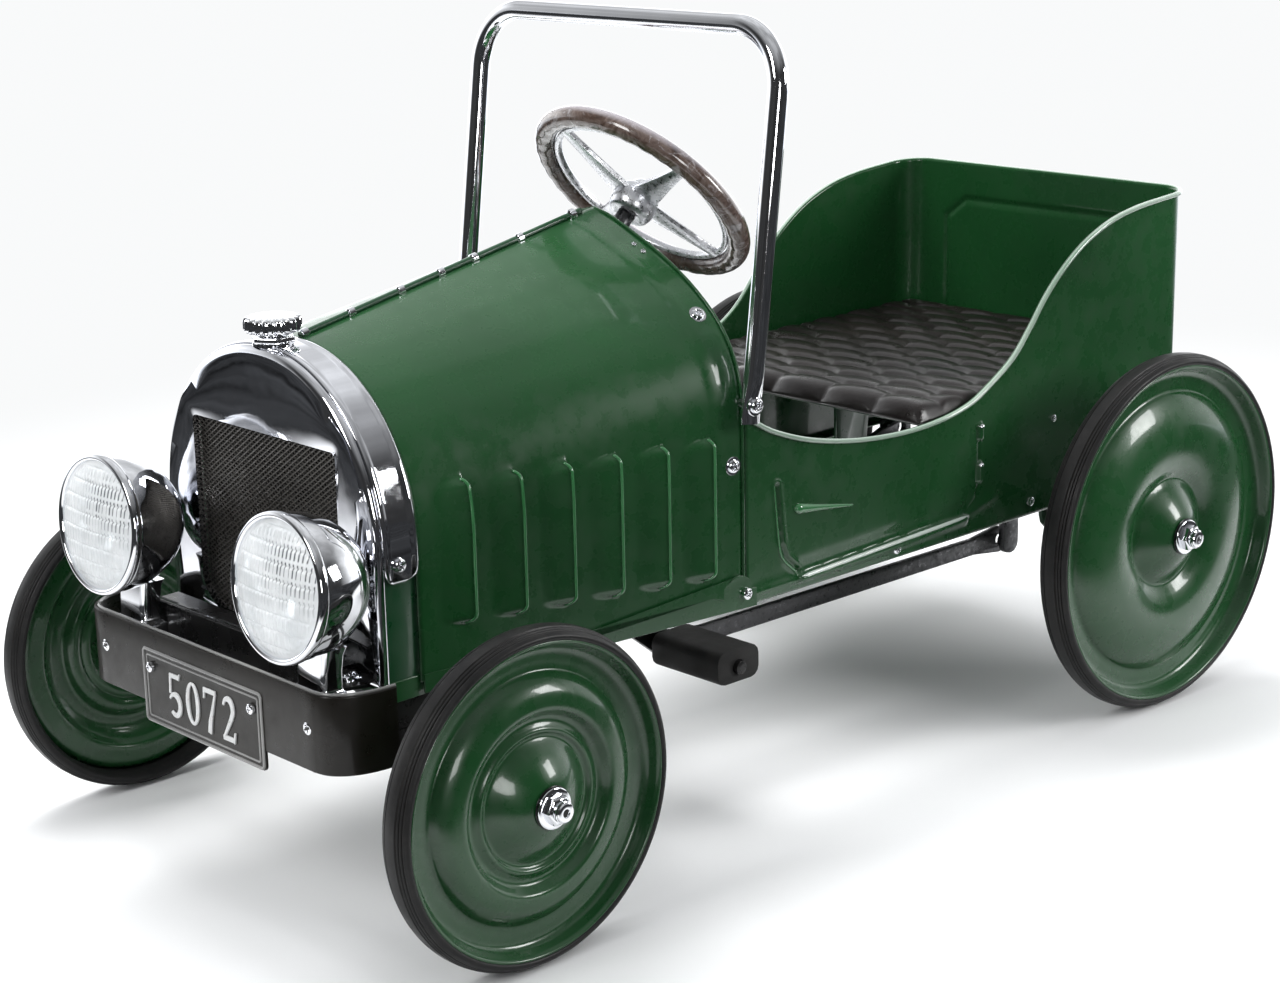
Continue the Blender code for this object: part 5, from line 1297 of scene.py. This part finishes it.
for which, R, yf, line_, x_c in (("front", R_FRONT, Y_FRONT, FRONT_LINE, XF), ("rear", R_REAR, Y_REAR, REAR_LINE, 0.0)):
    for s, side in ((1, "L"), (-1, "R")):
        wheel_body = {"frontL": "front_left_wheel", "frontR": "front_right_wheel", "rearL": "rear_left_wheel", "rearR": "axle_assembly"}[which + side]
        nut_body = {"frontL": "knuckle_left", "frontR": "knuckle_right", "rearL": "axle_assembly", "rearR": "axle_assembly"}[which + side]
        centre = (x_c, s * yf, R)
        outer_l = smooth_line(line_, 4)
        t_d = 0.0013
        inner_l = []
        for i, (r, h) in enumerate(outer_l):
            a0, a1 = outer_l[max(i - 1, 0)], outer_l[min(i + 1, len(outer_l) - 1)]
            dd = Vector((a1[0] - a0[0], a1[1] - a0[1])).normalized()
            inner_l.append((r + dd.y * t_d * (0 if i < 3 else 1), h - dd.x * t_d))
        prof = outer_l + list(reversed([q for q in inner_l if q[0] > 0.0096])) + [(0.0096, -0.0120), (0.0090, -0.0148), (0.0064, -0.0150)]
        disc = lathe(prof, centre, (0, s, 0), 128, closed=True)
        make(which + "_disc_" + side, disc, wheel_body, GREEN, (which + "_wheel_" + side,), sharp=42)
        # tyre: flat shoulder, three fine ribs on each shoulder, crowned tread, inner shoulder
        ty = [(R - 0.0076, -0.0010), (R - 0.0072, 0.0002), (R - 0.0060, 0.0008), (R - 0.0044, 0.0006), (R - 0.0036, -0.0002)]
        for c_r, c_h in ((R - 0.0029, -0.0014), (R - 0.0019, -0.0030), (R - 0.0011, -0.0047)):
            ty += [(c_r - 0.0004, c_h + 0.00075), (c_r + 0.0002, c_h + 0.0004), (c_r + 0.0003, c_h - 0.0003), (c_r - 0.0002, c_h - 0.0007), (c_r - 0.00055, c_h - 0.0008)]
        ty += [(R - 0.0003, -0.0062), (R, -0.0085), (R, -0.0117)]
        mirror = [(r, -0.0202 - h) for r, h in reversed(ty)]
        ty = ty + mirror + [(R - 0.0098, -0.0165), (R - 0.0102, -0.0101), (R - 0.0098, -0.0037)]
        make(which + "_rubber_" + side, lathe(ty, centre, (0, s, 0), 144, closed=True), wheel_body, TYRE, (which + "_tyre_" + side,), sharp=55)
        # hub: black washer, bright flanged nut, bolt tip with its centre mark
        dr = (0, s, 0)
        flange = lathe(smooth_line([(0.0060, 0.0101), (0.0095, 0.0101), (0.0116, 0.0102), (0.0124, 0.0108), (0.0120, 0.0116), (0.0100, 0.0120), (0.0060, 0.0122)], 3), centre, dr, 56, closed=True)
        hexn = lathe([(0.0058, 0.0118), (0.0086, 0.0118), (0.0092, 0.0123), (0.0092, 0.0160), (0.0084, 0.0168), (0.0072, 0.0172), (0.0058, 0.0172)], centre, dr, 6, closed=True)
        tip = lathe([(0.0052, 0.0100), (0.0060, 0.0105), (0.0060, 0.0202), (0.0054, 0.0209), (0.0042, 0.0212), (0.0026, 0.0211), (0.0022, 0.0206), (0.0019, 0.0190), (0.0, 0.0188)], centre, dr, 48)
        grooves = lathe([(0.0061, 0.0184), (0.0066, 0.0187), (0.0066, 0.0194), (0.0061, 0.0197)], centre, dr, 48, closed=True)
        make(which + "_hub_nut_" + side, merge(flange, hexn, tip, grooves), nut_body, CHROME, (which + "_nut_" + side,), sharp=30)
        washer = lathe([(0.0062, 0.0091), (0.0118, 0.0091), (0.0128, 0.0093), (0.0130, 0.0095), (0.0126, 0.0098), (0.0062, 0.0098)], centre, dr, 56, closed=True)
        make(which + "_washer_" + side, washer, wheel_body, BLACK, sharp=40)

# ------------------------------------------------------------------ seat: stitched vinyl pad, blown up between its seams
clo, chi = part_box("seat_cushion")
X_A, X_B = clo.x + SX + 0.0012, chi.x + SX - 0.0012
Y_C = chi.y - 0.0014
Z_A, Z_B = clo.z + 0.0002, chi.z - 0.0052
PITCH, WAVE, ROWS = 0.0465, 0.0085, 14
OFFS = (0.0144, 0.0144 + PITCH / 2)
STEP = (X_B - X_A - 0.004) / ROWS
SUB = 8          # grid lines from one seam to the next
NV = 108


def seam_x(i, y):
    """Front seam of row i (0 at the front edge), at y. Rows are staggered by half a scallop."""
    if i == 0:
        return X_B + 0.0 * y
    off = OFFS[(i + 1) % 2]
    arcs = abs(math.cos(math.pi * (y - off) / PITCH)) ** 0.75
    x = X_B - 0.0060 - STEP * i - WAVE * (arcs - 0.5) * (0.5 if i == 1 else 1.0)
    return max(x, X_A)


ys = np.linspace(-Y_C, Y_C, NV + 1)
n_u = ROWS * SUB
top = [[None] * (NV + 1) for _ in range(n_u + 1)]
seam_mark = {}
for j, y in enumerate(ys):
    for i in range(ROWS):
        a0 = seam_x(i, y)
        a1 = seam_x(i + 1, y) if i + 1 < ROWS else X_A
        for k in range(SUB + (1 if i == ROWS - 1 else 0)):
            top[i * SUB + k][j] = (lerp(a0, a1, k / SUB), y)
verts, faces, pin, kinds = [], [], {}, []
index = {}


def pillow(i_u, y):
    """Height of the pad between seams when it isn't blown up by the solver."""
    row, t = divmod(i_u, SUB)
    t /= SUB
    off = OFFS[row % 2]
    side = abs(math.cos(math.pi * (y - off) / PITCH)) ** 0.45
    if row == 0:
        return math.sqrt(max(0.0, 1 - t ** 3)) * side
    b = math.sqrt(max(0.0, 1 - abs(2 * t - 1) ** 2.2)) * (1 - 0.25 * t)
    return b * (0.40 + 0.60 * side)


EDGE = 0.0075
for i_u in range(n_u + 1):
    for j, y in enumerate(ys):
        x = top[i_u][j][0]
        e_f = X_B - x
        e_s = min(Y_C - abs(y), x - X_A + 0.002)
        drop = EDGE * (1 - math.sqrt(max(0.0, 1 - (1 - min(1.0, max(0.0, e_f) / EDGE)) ** 2)))
        drop_s = EDGE * 0.8 * (1 - math.sqrt(max(0.0, 1 - (1 - min(1.0, max(0.0, e_s) / (EDGE * 0.8))) ** 2)))
        z = Z_B - min(EDGE, drop + drop_s)
        index[(0, i_u, j)] = len(verts)
        verts.append((x, y, z))
        seam = i_u % SUB == 0 and i_u > 0
        row = i_u // SUB
        off = PITCH / 2 if row % 2 else 0.0
        near_cusp = False
        kinds.append(1.0 if seam else (0.9 if near_cusp and row < 1 and i_u > 1 else (0.8 if near_cusp and (i_u % SUB) in (1, 2) else 0.0)))
rows_z = [Z_B - EDGE - 0.0010, (Z_A + Z_B - EDGE) / 2 - 0.0003, Z_A + 0.0008, Z_A]
border = [(0, i, 0) for i in range(n_u + 1)] + [(0, n_u, j) for j in range(1, NV + 1)] + [(0, i, NV) for i in range(n_u - 1, -1, -1)] + [(0, 0, j) for j in range(NV - 1, 0, -1)]
for i_u in range(n_u):
    for j in range(NV):
        faces.append((index[(0, i_u, j)], index[(0, i_u, j + 1)], index[(0, i_u + 1, j + 1)], index[(0, i_u + 1, j)]))
ring = [index[b] for b in border]
first_ring = len(verts)
centre_pad = Vector(((X_A + X_B) / 2, 0, 0))
for lvl, z in enumerate(rows_z):
    new = []
    for b in border:
        x, y, _ = verts[index[b]]
        bulge = (0.0010, 0.0014, 0.0004, -0.0015)[lvl]
        d = Vector(((1 if b[1] == 0 else -1 if b[1] == n_u else 0), (1 if b[2] == NV else -1 if b[2] == 0 else 0)))
        if d.length:
            d.normalize()
        new.append(len(verts))
        verts.append((x + d.x * bulge, y + d.y * bulge, z))
        kinds.append(1.0 if lvl >= 2 else 0.0)
    m = len(ring)
    for k in range(m):
        faces.append((ring[k], ring[(k + 1) % m], new[(k + 1) % m], new[k]))
    ring = new
under = {}
for n, b in enumerate(border):
    under[b[1:]] = ring[n]
for i_u in range(n_u + 1):
    for j, y in enumerate(ys):
        if (i_u, j) not in under:
            under[(i_u, j)] = len(verts)
            verts.append((verts[index[(0, i_u, j)]][0], y, Z_A))
            kinds.append(1.0)
for i_u in range(n_u):
    for j in range(NV):
        faces.append((under[(i_u, j)], under[(i_u + 1, j)], under[(i_u + 1, j + 1)], under[(i_u, j + 1)]))
seat = make("seat_pad", (verts, faces), ROOT, VINYL, ("seat_cushion",), sharp=180)
grp = seat.vertex_groups.new(name="stitches")
for i, w in enumerate(kinds):
    if w > 0:
        grp.add([i], 1.0 if w > 0.95 else w, "REPLACE")
rest = np.array([v.co for v in seat.data.vertices], float)
cl = seat.modifiers.new("inflate", "CLOTH")
st_c = cl.settings
st_c.quality = 6
st_c.mass = 0.15
st_c.tension_stiffness = 22
st_c.compression_stiffness = 22
st_c.shear_stiffness = 8
st_c.bending_stiffness = 0.25
st_c.use_pressure = True
st_c.uniform_pressure_force = 9.0
st_c.effector_weights.gravity = 0.0
st_c.vertex_group_mass = "stitches"
st_c.pin_stiffness = 6.0
cl.point_cache.frame_start, cl.point_cache.frame_end = 1, 22
sc = bpy.context.scene
for f in range(1, 21):
    sc.frame_set(f)
graph = bpy.context.evaluated_depsgraph_get()
ev = seat.evaluated_get(graph)
blown = np.array([v.co for v in ev.data.vertices], float)
move = blown - rest
size = np.linalg.norm(move, axis=1)
CAP = 0.0062
scale = np.where(size > 1e-9, CAP * np.tanh(size / CAP) / np.maximum(size, 1e-9), 0.0)
move *= scale[:, None]
move[rest[:, 2] < Z_A + 0.0012] = 0.0
seat.modifiers.remove(cl)
sc.frame_set(1)
seat.data.vertices.foreach_set("co", (rest + move).astype(np.float32).ravel())
seat.data.update()
# quilting: every scallop of the pad swells between its seams, the front row as a roll over the edge
co = np.empty(len(seat.data.vertices) * 3, np.float32)
seat.data.vertices.foreach_get("co", co)
co = co.reshape(-1, 3)
for i_u in range(n_u + 1):
    for j, y in enumerate(ys):
        k = index[(0, i_u, j)]
        f = pillow(min(i_u, n_u - 1), y) if i_u < n_u else 0.0
        edge_f = min(1.0, (Y_C - abs(y)) / 0.004)
        tuck = max(0.0, 0.0190 - (co[k][0] + SX - X_A)) / 0.0190
        if tuck > 0:
            lim = Y_C - 0.0190 + math.sqrt(max(0.0, 0.0190 ** 2 - (0.0190 * min(tuck, 1.0)) ** 2))
            if abs(co[k][1]) > lim:
                co[k][1] = math.copysign(lim, co[k][1])
        if i_u < SUB:
            t = i_u / SUB
            co[k][0] += (0.0034 * f - 0.0022) * (1 - t) ** 0.7
            co[k][2] += (0.0042 * f - 0.0016) * edge_f
        else:
            co[k][2] += (0.0036 * f - 0.0012) * edge_f
for lvl_ring, push in ((0, 0.0034), (1, 0.0030), (2, 0.0015)):
    for n, b in enumerate(border):
        if b[1] == 0:
            k = first_ring + lvl_ring * len(border) + n
            co[k][0] += push * abs(math.cos(math.pi * (ys[b[2]] - OFFS[0]) / PITCH)) ** 0.45 - 0.6 * push
seat.data.vertices.foreach_set("co", co.ravel())
seat.data.update()
sub = seat.modifiers.new("fine", "SUBSURF")
sub.levels = sub.render_levels = 1

slo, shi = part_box("seat_pan")
pan = []
for z, d in ((slo.z, 0.0), (shi.z, 0.0)):
    pan.append([(x, y, z) for x, y in rounded([(slo.x + SX, -shi.y), (shi.x + SX, -shi.y), (shi.x + SX, shi.y), (slo.x + SX, shi.y)], [0.0190, 0.0030, 0.0030, 0.0190], 8)])
make("seat_pan_sheet", loft(pan), ROOT, GREEN_IN, ("seat_pan",), sharp=40, bevel=0.0004)

# stitch thread along the seams
thread = []
for i in range(1, ROWS):
    pts = []
    for j in range(2, NV - 1):
        k = index[(0, i * SUB, j)]
        co = seat.data.vertices[k].co if k < len(seat.data.vertices) else None
        pts.append((co.x + SX, co.y, co.z + 0.0002))
    thread.append(sweep(pts, 0.00042, seg=5))
make("seat_stitching", merge(*thread), ROOT, VINYL, sharp=180)

# ------------------------------------------------------------------ carried-over solids: finish and softened edges
FIN = {"green_enamel": GREEN_IN, "chrome": CHROME, "black_enamel": BLACK, "tyre_rubber": TYRE, "pedal_rubber": PAD, "black_vinyl": VINYL, "grille_steel": DARK_STEEL,
       "zinc_steel": ZINC_DARKENED, "cast_alloy": ALLOY, "marbled_rim": MARBLE, "nylon": NYLON, "lamp_glass": GLASS}
slot_of = {r["node"]: r["material_slot"] for r in frame["record"]["subparts"]}
for name, o in NODES.items():
    o.data.materials.clear()
    o.data.materials.append(FIN[slot_of[name]])
    if o.hide_render:
        continue
    for poly in o.data.polygons:
        poly.use_smooth = True
    w = o.modifiers.new("weld", "WELD")
    w.merge_threshold = 0.00001
    b = o.modifiers.new("soft_edges", "BEVEL")
    b.width, b.segments, b.limit_method, b.angle_limit = 0.0004, 2, "ANGLE", math.radians(42)
    b.use_clamp_overlap = True

# ------------------------------------------------------------------ stage, lights, camera
floor_mat, nt, p = new_mat("floor_finish")


def calc(op, x, y=0.0, clamp=False):
    n = node(nt, "ShaderNodeMath", {0: x, 1: y}, operation=op)
    n.use_clamp = clamp
    return n.outputs[0]


def ease(x, lo, hi, a=0.0, b=1.0):
    return node(nt, "ShaderNodeMapRange", {"Value": x, "From Min": lo, "From Max": hi, "To Min": a, "To Max": b}, interpolation_type="SMOOTHSTEP").outputs["Result"]


v = coords(nt)
lp = node(nt, "ShaderNodeLightPath")
pos = node(nt, "ShaderNodeSeparateXYZ", {"Vector": node(nt, "ShaderNodeNewGeometry").outputs["Position"]})
px, py = pos.outputs["X"], pos.outputs["Y"]
dx = calc("MAXIMUM", calc("SUBTRACT", calc("ABSOLUTE", px), 0.42), 0.0)
dy = calc("MAXIMUM", calc("MAXIMUM", calc("MULTIPLY", calc("SUBTRACT", py, 0.20), 2.4), calc("SUBTRACT", calc("MULTIPLY", py, -1.0), 0.20)), 0.0)
away = calc("SQRT", calc("ADD", calc("MULTIPLY", dx, dx), calc("MULTIPLY", dy, dy)))
behind = calc("ADD", calc("MULTIPLY", px, -0.64), calc("MULTIPLY", py, -0.76))
far_glossy = ease(away, 0.42, 0.78)
far_camera = ease(away, 0.15, 1.10)
patch = span(nt, noise_of(nt, v, 2.6, 3.0, 0.55), 0.35, 1.9, 0.35, 0.7)
tone = ramp(nt, noise_of(nt, v, 1.6, 4.0, 0.5), [(0.3, (0.86, 0.865, 0.87)), (0.7, (0.90, 0.905, 0.91))])
nt.links.new(mix(nt, span(nt, lp.outputs["Is Diffuse Ray"], 0.0, 0.80), tone, (0.20, 0.20, 0.20)), p.inputs["Base Color"])
p.inputs["Roughness"].default_value = 0.8
p.inputs["Specular IOR Level"].default_value = 0.1
nt.links.new(bump(nt, noise_of(nt, v, 240.0, 3.0, 0.5), 0.04, 0.0005), p.inputs["Normal"])
fac = calc("ADD", calc("MULTIPLY", lp.outputs["Is Glossy Ray"], far_glossy), calc("MULTIPLY", lp.outputs["Is Camera Ray"], far_camera), True)
glow = calc("ADD", calc("MULTIPLY", lp.outputs["Is Glossy Ray"], calc("MULTIPLY", ease(behind, 0.7, 2.2, 0.042, 1.9), calc("MAXIMUM", patch, ease(behind, 0.5, 1.2)))), calc("MULTIPLY", lp.outputs["Is Camera Ray"], 0.96))
em = node(nt, "ShaderNodeEmission", {"Color": mix(nt, lp.outputs["Is Glossy Ray"], (0.985, 0.995, 1.0), (0.90, 0.94, 1.0)), "Strength": glow})
ms = node(nt, "ShaderNodeMixShader", {0: fac})
nt.links.new(p.outputs[0], ms.inputs[1])
nt.links.new(em.outputs[0], ms.inputs[2])
nt.links.new(ms.outputs[0], nt.nodes["Material Output"].inputs["Surface"])
bm = bmesh.new()
bmesh.ops.create_grid(bm, x_segments=24, y_segments=24, size=9.0)
me = bpy.data.meshes.new("studio_floor")
bm.to_mesh(me)
bm.free()
me.materials.append(floor_mat)
floor = bpy.data.objects.new("studio_floor", me)
floor.location = (0, 0, CAD_LO.z - 0.0002)
bpy.context.scene.collection.objects.link(floor)

world = bpy.data.worlds.new("studio")
bpy.context.scene.world = world
world.use_nodes = True
nt = world.node_tree
nt.nodes.clear()
out = nt.nodes.new("ShaderNodeOutputWorld")
lp = node(nt, "ShaderNodeLightPath")
tc = node(nt, "ShaderNodeTexCoord")
sep = node(nt, "ShaderNodeSeparateXYZ", {"Vector": tc.outputs["Generated"]})
# the room: a bright backdrop behind the car, a lit ceiling, a dark wall behind the camera
facing = node(nt, "ShaderNodeVectorMath", {0: tc.outputs["Generated"], 1: (-0.64, -0.76, 0.0)}, operation="DOT_PRODUCT").outputs["Value"]
wall = calc("MULTIPLY", ease(facing, -0.05, 0.62, 0.0, 2.2), ease(sep.outputs["Z"], 0.22, 0.62, 1.0, 0.22))
ceiling = ease(sep.outputs["Z"], 0.35, 0.98, 0.04, 0.55)
cloud = noise_of(nt, node(nt, "ShaderNodeMapping", {"Vector": tc.outputs["Generated"], "Scale": (1, 1, 1.6)}).outputs[0], 3.2, 3.0, 0.55)
room = calc("MULTIPLY", calc("ADD", wall, ceiling), span(nt, cloud, 0.75, 1.2, 0.35, 0.65))
soft = calc("ADD", ease(sep.outputs["Z"], 0.0, 0.9, 0.07, 1.0), calc("MULTIPLY", ease(facing, 0.2, 1.0), 0.35))
level = calc("ADD", calc("MULTIPLY", lp.outputs["Is Glossy Ray"], room), calc("MULTIPLY", calc("SUBTRACT", 1.0, lp.outputs["Is Glossy Ray"]), soft))
bg_room = node(nt, "ShaderNodeBackground", {"Color": (0.97, 0.985, 1.0, 1), "Strength": level})
bg_cam = node(nt, "ShaderNodeBackground", {"Color": (0.945, 0.955, 0.960, 1), "Strength": 1.0})
ms = node(nt, "ShaderNodeMixShader", {0: lp.outputs["Is Camera Ray"]})
nt.links.new(bg_room.outputs[0], ms.inputs[1])
nt.links.new(bg_cam.outputs[0], ms.inputs[2])
nt.links.new(ms.outputs[0], out.inputs["Surface"])


def area(name, at, look, sx, sy, power, color=(1, 1, 1)):
    l = bpy.data.lights.new(name, "AREA")
    l.shape, l.size, l.size_y, l.energy, l.color = "RECTANGLE", sx, sy, power, color
    o = bpy.data.objects.new(name, l)
    o.location = at
    o.rotation_mode = "QUATERNION"
    o.rotation_quaternion = (Vector(look) - Vector(at)).to_track_quat("-Z", "Y")
    bpy.context.scene.collection.objects.link(o)
    return o


top = area("softbox_top", (-0.15, -0.70, 1.8), (0.0, 0.0, 0.2), 1.5, 0.9, 34)
top.visible_glossy = False
area("softbox_front", (1.9, 0.10, 1.35), (0.1, 0.1, 0.2), 0.50, 0.8, 15)
window = area("window_left", (-1.55, 1.95, 1.00), (0.0, 0.1, 0.2), 0.60, 0.75, 26)
window.visible_diffuse = False
side = area("window_side", (1.15, 2.1, 0.70), (0.3, 0.1, 0.2), 0.50, 0.60, 10)
side.visible_diffuse = False
rear = area("rear_quarter_fill", (-1.25, 1.45, 0.8), (-0.35, 0.1, 0.2), 0.8, 0.8, 17)
rear.visible_glossy = False

C = Vector((1.4913 - SX, 1.2378, 0.6593))
az, el, roll = math.radians(139.9802), math.radians(16.0291), math.radians(-1.9914)
back = Vector((math.sin(az) * math.cos(el), -math.cos(az) * math.cos(el), math.sin(el)))
right = Vector((0, 0, 1)).cross(back).normalized()
upv = back.cross(right).normalized()
cxv = right * math.cos(roll) + upv * math.sin(roll)
cyv = -right * math.sin(roll) + upv * math.cos(roll)
cam_d = bpy.data.cameras.new("photo_view")
cam_d.lens, cam_d.sensor_width, cam_d.sensor_fit = 72.93, 36.0, "HORIZONTAL"
cam_d.shift_x, cam_d.shift_y = 0.1130, 0.0206
cam_d.clip_start, cam_d.clip_end = 0.05, 60
cam = bpy.data.objects.new("photo_view", cam_d)
cam.matrix_world = Matrix(((cxv.x, cyv.x, back.x, C.x), (cxv.y, cyv.y, back.y, C.y), (cxv.z, cyv.z, back.z, C.z), (0, 0, 0, 1)))
bpy.context.scene.collection.objects.link(cam)
bpy.context.scene.camera = cam
bpy.context.scene.view_settings.view_transform = "Standard"
bpy.context.scene.view_settings.look = "None"
